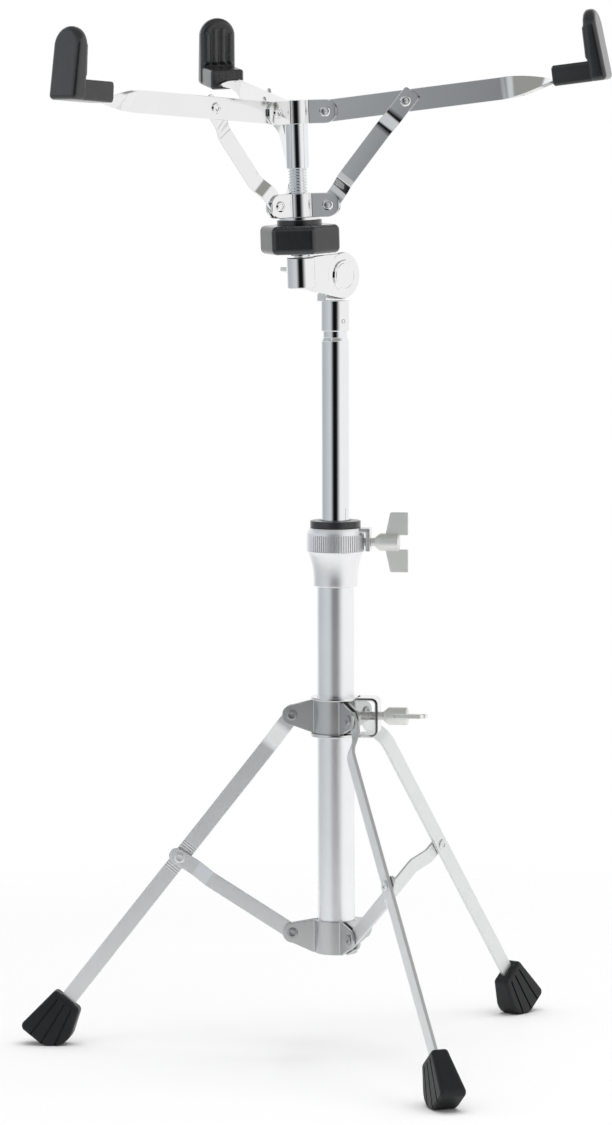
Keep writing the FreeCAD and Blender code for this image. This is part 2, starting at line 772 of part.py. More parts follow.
def write_tripod():
    plate = hub_plate(collar_bore, collar_plate_thickness, leg_gap, leg_pivot_radius, collar_ear_tip,
                      upper_plate_below, upper_plate_above)
    tip = base_tube_radius + layer_gap
    hole = rod(screw_radius + running_clearance, 0, strap_reach, X)
    rivet = pivot_rivet(leg_gap, collar_plate_thickness, leg_pivot_radius)
    rivets = []
    leg, stay = leg_shape(), stay_shape()
    foot, leg_rivet = foot_shape(), leg_rivet_shape()
    for k in range(spokes):
        azimuth = first_leg_azimuth + k * spoke_step
        number = k + 1
        lifted = spoke(plate, azimuth).cut(spoke(hole, clamp_azimuth))
        write("collar_plate_%d" % number, [moved(lifted, 0, 0, upper_pivot_height)])
        rivets.append(moved(spoke(rivet, azimuth), 0, 0, upper_pivot_height))
        placed = placed_leg(leg, azimuth)
        write("leg_%d" % number, [placed])
        write("foot_%d" % number, [on_floor(placed_leg(foot, azimuth)).cut(placed)])
        write("leg_rivet_%d" % number, [placed_leg(leg_rivet, azimuth)])
        write("leg_stay_%d" % number, [placed_stay(stay, azimuth)])
    write("collar_rivets", rivets)
    write("collar_strap", [moved(spoke(strap_shape(), clamp_azimuth), 0, 0, upper_pivot_height)])
    screw = wing_screw(tip, strap_reach + screw_stand_off, wing_span, leg_wing_reach)
    screw = moved(turned(screw, X, 90 + leg_wing_turn), 0, 0, upper_pivot_height)
    write("collar_wing_screw", [spoke(screw, clamp_azimuth)])


def write_column():
    write("upper_tube", [upper_tube_shape().cut(upright(tilter_pin_hole(0.0)))])
    write("guide_plug", [plug_shape()])
    write("tilter_base", [upright(tilter_base_shape())])
    write("tilter_pin", [upright(tilter_pin_hole(running_clearance))])
    write("tilter_wing_nut", [upright(tilter_wing_shape())])
    write("tilter_arm", [tilted(tilter_arm_shape())])
    write("tilter_bolt", [tilted(tilter_bolt_shape())])


def write_basket():
    write("basket_post", [in_basket(post_shape())])
    write("basket_knob", [in_basket(knob_shape())])
    write("thrust_washer", [in_basket(washer_shape())])
    sizes = (hub_pivot_radius, hub_ear_tip, hub_half_height, hub_half_height)
    upper = hub_plate(post_radius, hub_plate_thickness, arm_gap, *sizes)
    lower = hub_plate(post_radius + slide_clearance, hub_plate_thickness, basket_stay_gap, *sizes)
    upper_rivet = pivot_rivet(arm_gap, hub_plate_thickness, hub_pivot_radius)
    lower_rivet = pivot_rivet(basket_stay_gap, hub_plate_thickness, hub_pivot_radius)
    upper_rivets, lower_rivets = [], []
    arm, stay = arm_shape(), basket_stay_shape()
    tip, arm_rivet = tip_shape().cut(arm), arm_rivet_shape()
    for k in range(spokes):
        azimuth = k * spoke_step
        number = k + 1
        write("upper_hub_plate_%d" % number, [on_hub(upper, azimuth, upper_hub_height)])
        write("lower_hub_plate_%d" % number, [on_hub(lower, azimuth, lower_hub_height)])
        upper_rivets.append(on_hub(upper_rivet, azimuth, upper_hub_height))
        lower_rivets.append(on_hub(lower_rivet, azimuth, lower_hub_height))
        write("arm_%d" % number, [placed_arm(arm, azimuth)])
        write("tip_%d" % number, [placed_arm(tip, azimuth)])
        write("arm_rivet_%d" % number, [placed_arm(arm_rivet, azimuth)])
        write("basket_stay_%d" % number, [placed_basket_stay(stay, azimuth)])
    write("upper_hub_rivets", upper_rivets)
    write("lower_hub_rivets", lower_rivets)


os.makedirs("parts", exist_ok=True)
write_base()
write_tripod()
write_column()
write_basket()
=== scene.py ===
import json
import math

import bmesh
import bpy
from bpy.props import FloatProperty, FloatVectorProperty, IntProperty, PointerProperty
from mathutils import Matrix, Vector


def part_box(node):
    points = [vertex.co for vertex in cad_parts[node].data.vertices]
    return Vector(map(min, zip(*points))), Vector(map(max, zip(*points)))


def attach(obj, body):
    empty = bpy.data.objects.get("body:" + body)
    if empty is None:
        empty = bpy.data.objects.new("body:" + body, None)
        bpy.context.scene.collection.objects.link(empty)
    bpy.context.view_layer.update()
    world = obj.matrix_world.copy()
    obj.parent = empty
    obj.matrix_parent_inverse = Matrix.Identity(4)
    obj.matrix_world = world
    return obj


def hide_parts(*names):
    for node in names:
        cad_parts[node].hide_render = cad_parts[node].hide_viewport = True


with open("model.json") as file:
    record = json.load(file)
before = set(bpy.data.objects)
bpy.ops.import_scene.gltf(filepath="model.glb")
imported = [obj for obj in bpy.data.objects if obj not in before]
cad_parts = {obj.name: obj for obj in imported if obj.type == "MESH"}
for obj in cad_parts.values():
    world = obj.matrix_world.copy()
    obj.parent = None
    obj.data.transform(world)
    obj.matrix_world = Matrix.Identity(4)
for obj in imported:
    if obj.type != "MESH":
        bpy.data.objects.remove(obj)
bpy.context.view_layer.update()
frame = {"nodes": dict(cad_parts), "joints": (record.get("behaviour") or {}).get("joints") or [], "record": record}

bl_info = {
    "name": "Snare drum stand",
    "version": (1, 0, 0),
    "blender": (4, 5, 0),
    "location": "3D View > Sidebar > Stand",
    "description": "Makes the pieces and finishes of a folding snare drum stand",
    "category": "Object",
}

JOINTS = {joint["name"]: joint for joint in frame["joints"]}
COLOURS = {material["slot"]: material["base_color"] for material in frame["record"]["materials"]}
SPOKES = (1, 2, 3)
MM = 0.001
HERE = (0.0, 0.0, 0.0)
UP = Vector((0.0, 0.0, 1.0))
FINISHES = {}

# Widths of softened edges
TUBE_EDGE = 0.4 * MM
STRAP_EDGE = 0.4 * MM
PLATE_EDGE = 0.45 * MM
STRIP_EDGE = 0.35 * MM
KNURL_EDGE = 0.12 * MM
LUG_EDGE = 0.6 * MM
FLANGE_EDGE = 0.7 * MM
BLADE_EDGE = 0.5 * MM
STEM_EDGE = 0.8 * MM
WEB_EDGE = 1.0 * MM
SOCKET_EDGE = 0.9 * MM
ROD_EDGE = 0.6 * MM
TIP_EDGE = 3.4 * MM
SLEEVE_EDGE = 2.0 * MM
BOSS_EDGE = 0.5 * MM

# Sides of round pieces, and steps of curves
BIG_SIDES = 96
ROUND_SIDES = 72
POST_SIDES = 56
WING_SIDES = 40
BOLT_SIDES = 36
PIN_SIDES = 32
SMALL_SIDES = 28
ROUND_STEPS = (75, 60, 45, 30, 15)
EASE_STEPS = (0.0, 0.25, 0.5, 0.75, 1.0)
FLARE_STEPS = 10
TWIST_STEPS = 14
HEAD_STEPS = 14
BEND_STEPS = 5
WRAP_STEPS = 16
ELBOW_STEPS = 6
ROCKER_STEPS = 10
CORNER_STEPS = 6
LOBE_SIDES, LOBE_RINGS = 28, 14

# Small lengths
CUT = 0.0001 * MM
MERGE = 0.001 * MM
OVERLAP = 0.3 * MM
LEG_EASE = 4.0 * MM
STAY_EASE = 1.5 * MM
BASKET_EASE = 3.5 * MM
STAY_CORNER = 2.0 * MM
SKIRT_LIP = 0.6 * MM
LUG_ROOT = 4.0 * MM
COLLAR_TIP = 0.5 * MM
HUB_CHAMFER = 0.8 * MM
BLADE_ROOT = 1.2 * MM
SCREW_PITCH = 1.0 * MM
SLEEVE_MOUTH = 1.2 * MM
LOBE_CLEAR = 5.0 * MM
PIN_PROUD = 0.1 * MM

# The bushing, beyond the upper tube's radius: its sleeve, its mouth and its bore, and the mouth's depth
BUSH_SLEEVE = 1.2 * MM
BUSH_MOUTH = 1.6 * MM
BUSH_BORE = 0.1 * MM
BUSH_DISH = 1.5 * MM

# Shares and counts
RIPPLES = 3
FLARE_POWER = 2.3
BLADE_TAPER = 0.85
SCREW_TIP = 0.8
SCREW_ROOT = 0.86
NECK_WIDTH = 1.9
WEB_HEIGHT = 0.96
WEB_START = 0.25
RIVET_ROOT = 0.9
JAW_FACE = 0.3
LOBE_LOW, LOBE_TOP = 0.9, 0.6
THREAD_RISES = (0.3, 0.2, 0.3, 0.2)

# Limits of a face's normal
DOWNWARD = -0.9
BROAD = 0.7
LEVEL = 0.5

# Profiles: a rivet head's radius and height shares, from its edge to its hollow middle
RIVET_HEAD = ((1.0, 0.0), (1.0, 0.35), (0.86, 0.85), (0.68, 1.0), (0.52, 0.9), (0.42, 0.45), (0.2, 0.35))
# A pin's end: radius share, and millimetres inside its end
PIN_END = ((0.7, 3.0), (0.7, 0.2), (0.85, 0.0), (1.0, 0.2))
# Rims of a jaw and of the bolt's cap: millimetres inside the radius and below the face
JAW_RIM = ((0.0, 1.4), (0.5, 0.5), (1.6, 0.0))
CAP_RIM = ((0.0, 0.5), (0.5, 0.0), (1.7, 0.0), (2.2, 0.4), (2.6, 0.0))
DOME_SHARES = (0.75, 0.5, 0.25, 0.05)

# Features per metre in the finishes
PLATE_CLOUD = 55.0
PLATE_GRAIN = 1500.0
SKIN_CLOUD = 90.0
FINE, COARSE = 900.0, 15.0

# The stage, in metres
FLOOR_RADIUS = 1.0
FLOOR_FADE = (0.42, 0.95)
CARDS_RADIUS = 6.0
LAMP_PLACE = (0.3, -0.3, 3.0)
LAMP_SIZE = 3.0


# Properties
def size(label, words, millimetres):
    return FloatProperty(name=label, description=words, default=millimetres * MM, min=0.0, unit="LENGTH")


def bearing(label, words, degrees):
    return FloatProperty(name=label, description=words, default=math.radians(degrees), subtype="ANGLE")


def count(label, words, number, least=1):
    return IntProperty(name=label, description=words, default=number, min=least)


def tone(label, words, grey):
    return FloatVectorProperty(name=label, description=words, default=(grey, grey, grey), subtype="COLOR")


def colour(slot, words, share=1.0):
    tint = [value * share for value in COLOURS[slot]]
    return FloatVectorProperty(
        name=words.split(" on ")[0], description=words, default=tint, min=0.0, max=1.0, subtype="COLOR"
    )


def roughness(label, words, share):
    return FloatProperty(name=label, description=words, default=share, min=0.0, max=1.0, subtype="FACTOR")


class TubeSizes(bpy.types.PropertyGroup):
    base_radius: size("Base tube", "Outside radius of the base tube", 12.7)
    base_wall: size("Wall", "Wall of the base tube", 1.6)
    upper_radius: size("Upper tube", "Outside radius of the upper tube", 9.525)
    shoulder: size("Shoulder", "Height where the upper tube starts to neck in", 491.0)
    neck_radius: size("Neck", "Radius of the upper tube's neck", 8.3)
    neck_run: size("Neck taper", "Height of the taper below the neck", 2.6)


class CollarSizes(bpy.types.PropertyGroup):
    thickness: size("Plate", "Thickness of the pressed plates", 2.0)
    ear_tip: size("Ear", "Radius of the end of an ear", 7.0)
    bend: size("Bend", "Radius of the bend between ear and wrap", 2.4)
    upper_gap: size("Leg gap", "Gap between two upper ears, which holds a leg", 2.8)
    lower_gap: size("Stay gap", "Gap between two lower ears, which holds a stay", 2.3)
    lower_below: size("Lower, below", "Reach of the lower plates below their pivots", 13.1)
    lower_above: size("Lower, above", "Reach of the lower plates above their pivots", 9.8)
    upper_below: size("Upper, below", "Reach of the upper plates below their pivots", 12.0)
    upper_above: size("Upper, above", "Reach of the upper plates above their pivots", 11.0)
    strap_reach: size("Strap reach", "Distance of the strap's wall from the tube's axis", 30.2)
    strap_width: size("Strap width", "Width of the clamping strap", 19.0)
    strap_thickness: size("Strap", "Thickness of the clamping strap", 2.2)
    strap_bend: size("Strap bend", "Radius of the strap's two bends", 3.4)
    ring_wall: size("Ring", "Width of the strap's rings round the tube", 4.6)
    rivet_head: size("Rivet head", "Radius of a rivet's head", 3.7)
    rivet_rise: size("Rivet rise", "Height of a rivet's head", 1.2)


class LegSizes(bpy.types.PropertyGroup):
    lean: bearing("Lean", "Angle of a leg from upright", 38.2)
    width: size("Width", "Width of a leg strip", 11.2)
    thickness: size("Thickness", "Thickness of a leg strip", 2.5)
    tab: size("Tab", "Flat tab at the top of a leg, past its pivot", 12.5)
    joggle: size("Joggle", "Run of a leg's joggle along the strip", 14.0)
    offset: size("Offset", "Side step of a leg at its joggle", 8.5)
    to_stay: size("Stay pivot", "Distance along a leg to its stay's rivet", 129.1)
    foot_height: size("Foot top", "Height of the top of a foot above the floor", 32.4)
    in_foot: size("In foot", "Length of a leg inside its foot", 24.0)
    stay_width: size("Stay width", "Width of a stay strip", 10.9)
    stay_thickness: size("Stay", "Thickness of a stay strip", 2.0)
    stay_tab: size("Stay tab", "Flat tab at the leg's end of a stay", 13.5)
    stay_joggle: size("Stay joggle", "Run of a stay's joggle along the strip", 12.0)
    stay_tail: size("Stay tail", "Reach of a stay's round end past its rivet", 2.6)
    ripple: size("Ripple", "Height of the ripples pressed beside a stay's rivet", 0.16)
    ripple_pitch: size("Ripple pitch", "Distance between two ripples", 1.7)
    ripple_start: size("Ripple start", "Distance from a stay's rivet to the first ripple", 7.0)
    layer_gap: size("Layer gap", "Gap between a stay and its leg", 0.35)
    boss_rise: size("Boss", "Height of the formed end of a rivet", 1.0)


class FootSizes(bpy.types.PropertyGroup):
    length: size("Length", "Length of a foot along its leg", 36.0)
    top_width: size("Top width", "Half width of a foot at its top", 10.9)
    outer: size("Outer reach", "Reach of a foot's outer corner from its leg", 15.0)
    inner: size("Inner reach", "Reach of a foot's inner side at the floor's level", 23.9)
    top_depth: size("Top depth", "Half depth of a foot at its top", 5.8)
    bottom_depth: size("Bottom depth", "Half depth of a foot at the floor", 9.5)
    rocker: size("Rocker", "Radius of the rounded corner that meets the floor", 15.3)
    corner: size("Corner", "Radius of the outer corner", 4.0)
    edge: size("Edge", "Radius of a foot's soft edges", 2.4)
    lip: size("Lip", "Plain band at the top of a foot", 4.0)
    groove: size("Groove", "Width of a groove in a broad face", 1.3)
    groove_depth: size("Groove depth", "Depth of a groove in a broad face", 1.3)
    grooves: count("Grooves", "Grooves in each broad face", 3)


class ClampSizes(bpy.types.PropertyGroup):
    skirt_radius: size("Skirt", "Radius of the casting's lower edge", 15.0)
    skirt: size("Skirt height", "Height of the straight part of the skirt", 3.0)
    flare: size("Flare", "Height of the concave flare", 20.3)
    band: size("Band", "Height of the ribbed band", 12.4)
    band_radius: size("Band radius", "Radius over the ribs", 19.7)
    rim_radius: size("Rim radius", "Radius at the top of the casting", 17.8)
    knurl: size("Knurl", "Depth between two ribs", 0.9)
    ribs: count("Ribs", "Ribs round a whole turn", 72, 8)
    plain: bearing("Plain arc", "Half of the arc without ribs, opposite the lug", 48.0)
    lug_reach: size("Lug reach", "Reach of the lug from the tube's axis", 24.4)
    lug_width: size("Lug width", "Width of the lug", 13.0)
    lug_below: size("Lug drop", "Reach of the lug's wall below its screw", 6.2)
    lug_wall: size("Lug wall", "Thickness of the lug's roof and wall", 3.0)
    flange_radius: size("Bushing", "Radius of the nylon bushing's flange", 17.3)


class WingSizes(bpy.types.PropertyGroup):
    hub_radius: size("Hub", "Radius of a wing's hub", 6.1)
    hub_length: size("Hub length", "Length of a wing's hub with its neck", 16.4)
    neck_radius: size("Neck", "Radius where the neck meets the screw", 3.6)
    neck_length: size("Neck length", "Length of the tapered neck", 3.2)
    start: size("Blade start", "Distance from the neck to the blade's near edge", 6.8)
    slope: size("Blade lean", "How far the blade's near edge leans outward", 3.4)
    blade: size("Blade", "Thickness of a blade", 3.2)
    span: size("Span", "Span of a clamp screw's two blades", 41.0)
    nut_span: size("Nut span", "Span of the tilter nut's two blades", 44.0)
    collar_turn: bearing("Collar turn", "Turn of the collar screw's blades from upright", 84.0)
    nut_turn: bearing("Nut turn", "Turn of the tilter nut's blades from level", 11.0)
    reach: size("Reach", "Far edge of a short blade", 22.4)
    long_reach: size("Long reach", "Far edge of the collar screw's blade", 27.6)
    screw: size("Screw", "Radius of a screw's shank", 3.0)
    stand_off: size("Stand off", "Screw that shows below the neck", 3.2)


class TilterSizes(bpy.types.PropertyGroup):
    jaw_radius: size("Jaw", "Radius of the two jaws", 16.0)
    jaw_thickness: size("Jaw thickness", "Distance of a jaw's outer face from the middle", 8.6)
    jaw_gap: size("Jaw gap", "Gap between the two jaws", 0.3)
    relief: size("Relief", "Drop of the base's shoulder below its jaw", 0.8)
    stem_radius: size("Stem", "Radius of the base's stem", 9.7)
    reach: size("Reach", "Distance of the basket's post from the tilt axis", 38.6)
    side: size("Side step", "Side step of the basket's post", 5.6)
    socket_radius: size("Socket", "Radius of the socket that holds the post", 9.6)
    socket_below: size("Socket below", "Reach of the socket below the tilt axis", 6.2)
    socket_above: size("Socket above", "Reach of the socket above the tilt axis", 14.8)
    cap_radius: size("Cap", "Radius of the bolt's round cap", 10.8)
    cap_edge: size("Cap edge", "Height of the cap's rim", 1.2)
    cap_dome: size("Cap dome", "Height of the cap's dome above its rim", 1.2)
    recess: size("Recess", "Step from a jaw's face down to its web", 0.5)
    pin_radius: size("Pin", "Radius of the rolled cross pin", 1.5)
    pin_azimuth: bearing("Pin azimuth", "Direction of the cross pin", 306.0)
    bolt_radius: size("Bolt", "Radius of the bolt's shank", 4.0)
    bolt_tail: size("Bolt tail", "Bolt that stands out behind the nut's jaw", 23.0)


class BasketSizes(bpy.types.PropertyGroup):
    post_radius: size("Post", "Radius of the plain part of the post", 7.8)
    thread_radius: size("Thread", "Outer radius of the thread", 6.5)
    thread_depth: size("Thread depth", "Depth of the thread", 0.75)
    thread_pitch: size("Pitch", "Pitch of the thread", 2.0)
    thread_top: size("Thread top", "Height of the thread's end above the tilt axis", 74.4)
    hub_half: size("Hub", "Half height of a hub plate", 8.0)
    hub_bend: size("Hub bend", "Radius of the bend in a hub plate", 2.0)
    hub_room: size("Hub room", "Room between the lower hub and the post", 0.12)
    plate: size("Hub plate", "Thickness of a hub plate", 2.0)
    upper_gap: size("Arm gap", "Gap between two ears of the upper hub", 2.7)
    lower_gap: size("Stay gap", "Gap between two ears of the lower hub", 2.3)
    rise: bearing("Rise", "Slope of an arm", 5.73)
    arm_width: size("Arm width", "Width of an arm strip", 15.0)
    arm_thickness: size("Arm", "Thickness of an arm strip", 2.4)
    arm_flat: size("Arm flat", "Length of an arm that stands on edge", 120.0)
    arm_twist: size("Arm twist", "Length of the quarter twist", 38.0)
    arm_end: size("Arm end", "Length of the flat end inside the tip", 28.0)
    to_stay: size("Stay pivot", "Distance along an arm to its stay's rivet", 55.8)
    stay_width: size("Stay width", "Width of a basket stay", 12.0)
    stay_thickness: size("Stay", "Thickness of a basket stay", 2.0)
    stay_offset: size("Stay offset", "Side step of a basket stay between its joggles", 6.6)
    stay_tab: size("Stay tab", "Flat tab at the hub's end of a stay", 12.0)
    stay_run: size("Stay joggle", "Run of a joggle along a stay", 9.0)
    stay_end: size("Stay end", "Flat tab at the arm's end of a stay", 13.0)
    stay_tail: size("Stay tail", "Reach of a stay past its rivet", 8.0)


class KnobSizes(bpy.types.PropertyGroup):
    width: size("Width", "Width across two flats", 48.0)
    height: size("Height", "Height of the six-sided body", 19.2)
    corner: size("Corner", "Radius of the six upright corners", 4.0)
    edge: size("Edge", "Radius of the upper and lower edges", 3.8)
    boss_radius: size("Boss", "Radius of the boss on top", 15.2)
    boss_height: size("Boss height", "Height of the boss on top", 3.6)
    room: size("Room", "Room between the boss and the washer above it", 0.06)
    phase: bearing("Phase", "Turn of the first corner from the tilter's arm", 3.5)


class TipSizes(bpy.types.PropertyGroup):
    sleeve: size("Sleeve", "Half width of the sleeve on the arm", 11.8)
    below: size("Below", "Reach of the tip below the arm's middle", 3.0)
    above: size("Sleeve top", "Reach of the sleeve above the arm's middle", 10.7)
    face: size("Inner face", "Distance of the inner face from the arm's pivot", 182.2)
    half_width: size("Half width", "Half width of the upright", 12.6)
    height: size("Height", "Height of the upright above the arm's middle", 44.4)
    foot: size("Foot", "Thickness of the upright at its foot", 12.2)
    head: size("Head", "Thickness of the upright at its head", 8.2)
    lobe: size("Lobe", "Radius of a rounded rib", 4.0)
    proud: size("Proud", "How far a rib stands out of the inner face", 1.1)
    margin: size("Margin", "Plain margin beside the outer ribs", 1.3)
    lobes: count("Lobes", "Rounded ribs on the inner face", 4)


class FinishColours(bpy.types.PropertyGroup):
    leg_steel: colour("leg_steel", "Satin plate on the legs and their stays", 1.08)
    pressed_steel: colour("leg_steel", "Smoother plate on the pressed leg collars", 0.8)
    basket_chrome: colour("basket_chrome", "Bright plate on the basket's strips")
    collar_chrome: colour("collar_chrome", "Bright plate on the strap")
    tube_satin: colour("tube_satin", "Soft plate on the base tube", 1.16)
    tube_chrome: colour("tube_chrome", "Bright plate on the upper tube and post")
    cast_satin: colour("cast_satin", "Satin plate on the clamp casting", 1.14)
    tilter_chrome: colour("tilter_chrome", "Bright plate on the tilter")
    screw_chrome: colour("screw_chrome", "Plate on the wing screws", 1.14)
    rivet_steel: colour("leg_steel", "Dull dark rivets of the leg collars", 0.55)
    pin_steel: colour("pin_steel", "Dark rolled pin", 0.4)
    nylon: colour("nylon", "Moulded nylon")
    knob_plastic: colour("knob_plastic", "Moulded knob")
    foot_rubber: colour("foot_rubber", "Rubber of the feet")
    tip_rubber: colour("tip_rubber", "Rubber of the tips")
    mirror: roughness("Mirror", "Roughness of bright plate", 0.06)
    satin: roughness("Satin", "Roughness of satin plate", 0.3)


class StageSettings(bpy.types.PropertyGroup):
    floor_colour: tone("Floor", "Colour of the floor", 0.95)
    light_colour: tone("Even light", "Colour of the light all round", 0.6)
    camera_place: FloatVectorProperty(
        name="Camera",
        description="Place of the camera",
        default=(0.0, -3.3048, 0.6364),
        subtype="TRANSLATION",
    )
    yaw: bearing("Yaw", "Turn of the camera to the right", -0.35)
    pitch: bearing("Pitch", "Tilt of the camera upwards", -5.13)
    roll: bearing("Roll", "Roll of the camera", -0.14)
    focal_pixels: FloatProperty(
        name="Focal length", description="Focal length in pixels of the picture", default=4856.4
    )
    picture_height: FloatProperty(
        name="Picture height", description="Height of the picture in pixels", default=1125.0
    )
    lamp_power: FloatProperty(
        name="Lamp", description="Power of the lamp above", default=58.0, unit="POWER"
    )


# Modelling helpers
def rest():
    """Go back to object mode with nothing selected."""
    if bpy.context.mode != "OBJECT":
        bpy.ops.object.mode_set(mode="OBJECT")
    bpy.ops.object.select_all(action="DESELECT")


def choose(*pieces):
    """Select these pieces and make the first one active."""
    rest()
    for piece in pieces:
        piece.select_set(True)
    bpy.context.view_layer.objects.active = pieces[0]


def begin(name, add, **settings):
    """Add a primitive and open it for editing, with all of it selected."""
    rest()
    add(**settings)
    piece = bpy.context.object
    piece.name = name
    piece.data.name = name
    bpy.ops.object.mode_set(mode="EDIT")
    return piece


def plane(name):
    """Begin a piece as a unit square that faces up."""
    return begin(name, bpy.ops.mesh.primitive_plane_add, size=1)


def disc(name, sides, radius):
    """Begin a piece as a filled circle that faces up."""
    return begin(name, bpy.ops.mesh.primitive_circle_add, vertices=sides, radius=radius, fill_type="NGON")


def reopen(piece):
    """Open a piece for editing, with all of it selected."""
    choose(piece)
    bpy.ops.object.mode_set(mode="EDIT")
    bpy.ops.mesh.select_all(action="SELECT")


def faces_down(middle, face):
    """A test for faces that look down."""
    return face.normal.z < DOWNWARD


def pick(kind, test):
    """Select the vertices, edges or faces that pass a test of their middle and of the element."""
    bpy.ops.mesh.select_mode(type=kind)
    bpy.ops.mesh.select_all(action="DESELECT")
    data = bpy.context.object.data
    mesh = bmesh.from_edit_mesh(data)
    for element in {"VERT": mesh.verts, "EDGE": mesh.edges, "FACE": mesh.faces}[kind]:
        corners = [element] if kind == "VERT" else element.verts
        middle = sum((corner.co for corner in corners), Vector()) / len(corners)
        if test(middle, element):
            element.select_set(True)
    mesh.select_flush_mode()
    bmesh.update_edit_mesh(data)


def slide(step):
    bpy.ops.transform.translate(value=step)


def push(step):
    """Extrude what is selected."""
    bpy.ops.mesh.extrude_region_move(TRANSFORM_OT_translate={"value": step})


def sink(depth):
    """Extrude the selected faces inwards."""
    bpy.ops.mesh.extrude_region_shrink_fatten(TRANSFORM_OT_shrink_fatten={"value": -depth})


def grow(shares, about=HERE):
    bpy.ops.transform.resize(value=shares, center_override=about)


def turn(axis, degrees, about=HERE):
    """Turn what is selected by the right-hand rule."""
    bpy.ops.transform.rotate(value=-math.radians(degrees), orient_axis=axis, center_override=about)


def swing(degrees, about, steps):
    """Spin the selected end anticlockwise about an upright line."""
    bpy.ops.mesh.spin(steps=steps, angle=-math.radians(degrees), center=about, axis=UP)


def slice_off(place, outward):
    """Cut away all that lies beyond a plane and close the cut."""
    bpy.ops.mesh.select_all(action="SELECT")
    bpy.ops.mesh.bisect(plane_co=place, plane_no=outward, use_fill=True, clear_outer=True, threshold=CUT)


def score(place, normal):
    """Cut a line of edges where a plane meets the piece."""
    bpy.ops.mesh.select_all(action="SELECT")
    bpy.ops.mesh.bisect(plane_co=place, plane_no=normal, threshold=CUT)


def facing_x(depth, height, place):
    """Turn a unit plane to face along X and give it its size and place."""
    turn("Y", 90)
    grow((1, depth, height))
    slide(place)


def turned(name, profile, sides=64):
    """Raise a disc through each radius and height of a profile."""
    (radius, height), *others = profile
    piece = disc(name, sides, radius)
    slide((0, 0, height))
    for wide, high in others:
        push((0, 0, high - height))
        grow((wide / radius, wide / radius, 1), (0, 0, high))
        radius, height = wide, high
    return piece


def bored(profile, radius):
    """Open the turned piece in hand with a round hole from end to end."""
    for edge, height in (profile[0], profile[-1]):
        pick("FACE", lambda middle, face: len(face.verts) > 4 and abs(middle.z - height) < 0.01 * MM)
        bpy.ops.mesh.inset(thickness=edge - radius)
    pick("FACE", lambda middle, face: len(face.verts) > 4)
    bpy.ops.mesh.bridge_edge_loops()


def eased(path, reach):
    """Round the inner corners of a path of side offsets."""
    points = [Vector(p) for p in path]
    smooth = [points[0]]
    for before, corner, after in zip(points, points[1:], points[2:]):
        start = corner + (before - corner).normalized() * reach
        stop = corner + (after - corner).normalized() * reach
        for share in EASE_STEPS:
            smooth.append(start.lerp(corner, share).lerp(corner.lerp(stop, share), share))
    return smooth + [points[-1]]


def bar(name, path, thickness, width, round_start, round_end):
    """Draw a strip on edge along X, whose path gives the side offset at each place."""
    half = width / 2
    (x, y), (last_x, last_y) = path[0], path[-1]
    stations = [(px, py, 1.0) for px, py in path]
    arc = [(half * math.sin(math.radians(a)), math.cos(math.radians(a))) for a in ROUND_STEPS]
    if round_start:
        stations = [(x - out, y, tall) for out, tall in arc] + stations
    if round_end:
        stations = stations + [(last_x + out, last_y, tall) for out, tall in reversed(arc)]
    x, y, tall = stations[0]
    piece = plane(name)
    facing_x(thickness, width * tall, (x, y, 0))
    for next_x, next_y, next_tall in stations[1:]:
        push((next_x - x, next_y - y, 0))
        grow((1, 1, next_tall / tall), (next_x, next_y, 0))
        x, y, tall = next_x, next_y, next_tall
    return piece


def pressed_plate(name, bore, thickness, gap, pivot, tip, below, above, bend):
    """Press one plate: an ear, a bend, a third of a turn round the tube, a bend and an ear."""
    side = (gap + thickness) / 2
    wrap = bore + thickness / 2
    elbow = Vector((math.sqrt((wrap + bend) ** 2 - (side + bend) ** 2), side + bend, 0))
    start = math.degrees(math.atan2(elbow.y, elbow.x))
    third = 360 / len(SPOKES)
    far_elbow = Matrix.Rotation(math.radians(third - 2 * start), 3, "Z") @ elbow
    outward = Matrix.Rotation(math.radians(third), 3, "Z") @ Vector((1, 0, 0))
    arc = [(pivot + tip * math.sin(math.radians(a)), tip * math.cos(math.radians(a))) for a in ROUND_STEPS]
    ear = [(x, -z, z) for x, z in arc] + [(pivot, -tip, tip), (elbow.x, -below, above)]
    x, low, high = ear[0]
    piece = plane(name)
    facing_x(thickness, high - low, (x, side, 0))
    for next_x, next_low, next_high in ear[1:]:
        push((next_x - x, 0, 0))
        reach_to(low, high, next_low, next_high)
        x, low, high = next_x, next_low, next_high
    swing(start - 90, elbow, BEND_STEPS)
    swing(third - 2 * start, HERE, WRAP_STEPS)
    swing(start - 90, far_elbow, BEND_STEPS)
    for next_x, next_low, next_high in reversed(ear[:-1]):
        push(outward * (next_x - x))
        reach_to(low, high, next_low, next_high)
        x, low, high = next_x, next_low, next_high
    return piece


def reach_to(low, high, next_low, next_high):
    """Give the selected end of a plate another lower and upper edge."""
    share = (next_high - next_low) / (high - low)
    if abs(share - 1) > 1e-9:
        grow((1, 1, share), (0, 0, (next_low - share * low) / (1 - share)))


def soften(piece, width, segments=2, angle=38, clamp=True):
    """Round the sharp edges of a piece."""
    choose(piece)
    bevel = piece.modifiers.new("Soft edges", "BEVEL")
    bevel.width = width
    bevel.segments = segments
    bevel.limit_method = "ANGLE"
    bevel.angle_limit = math.radians(angle)
    bevel.use_clamp_overlap = clamp
    bpy.ops.object.modifier_apply(modifier=bevel.name)


def join(*pieces):
    choose(*pieces)
    bpy.ops.object.join()
    return pieces[0]


def copy_of(piece, name):
    choose(piece)
    bpy.ops.object.duplicate(linked=False)
    copy = bpy.context.object
    copy.name = name
    copy.data.name = name
    return copy


def spare(piece, k):
    return copy_of(piece, "%s_%d" % (piece.name, k))


def three_of(piece):
    """A piece and a copy of it for each other spoke."""
    return [piece] + [spare(piece, k) for k in SPOKES[1:]]


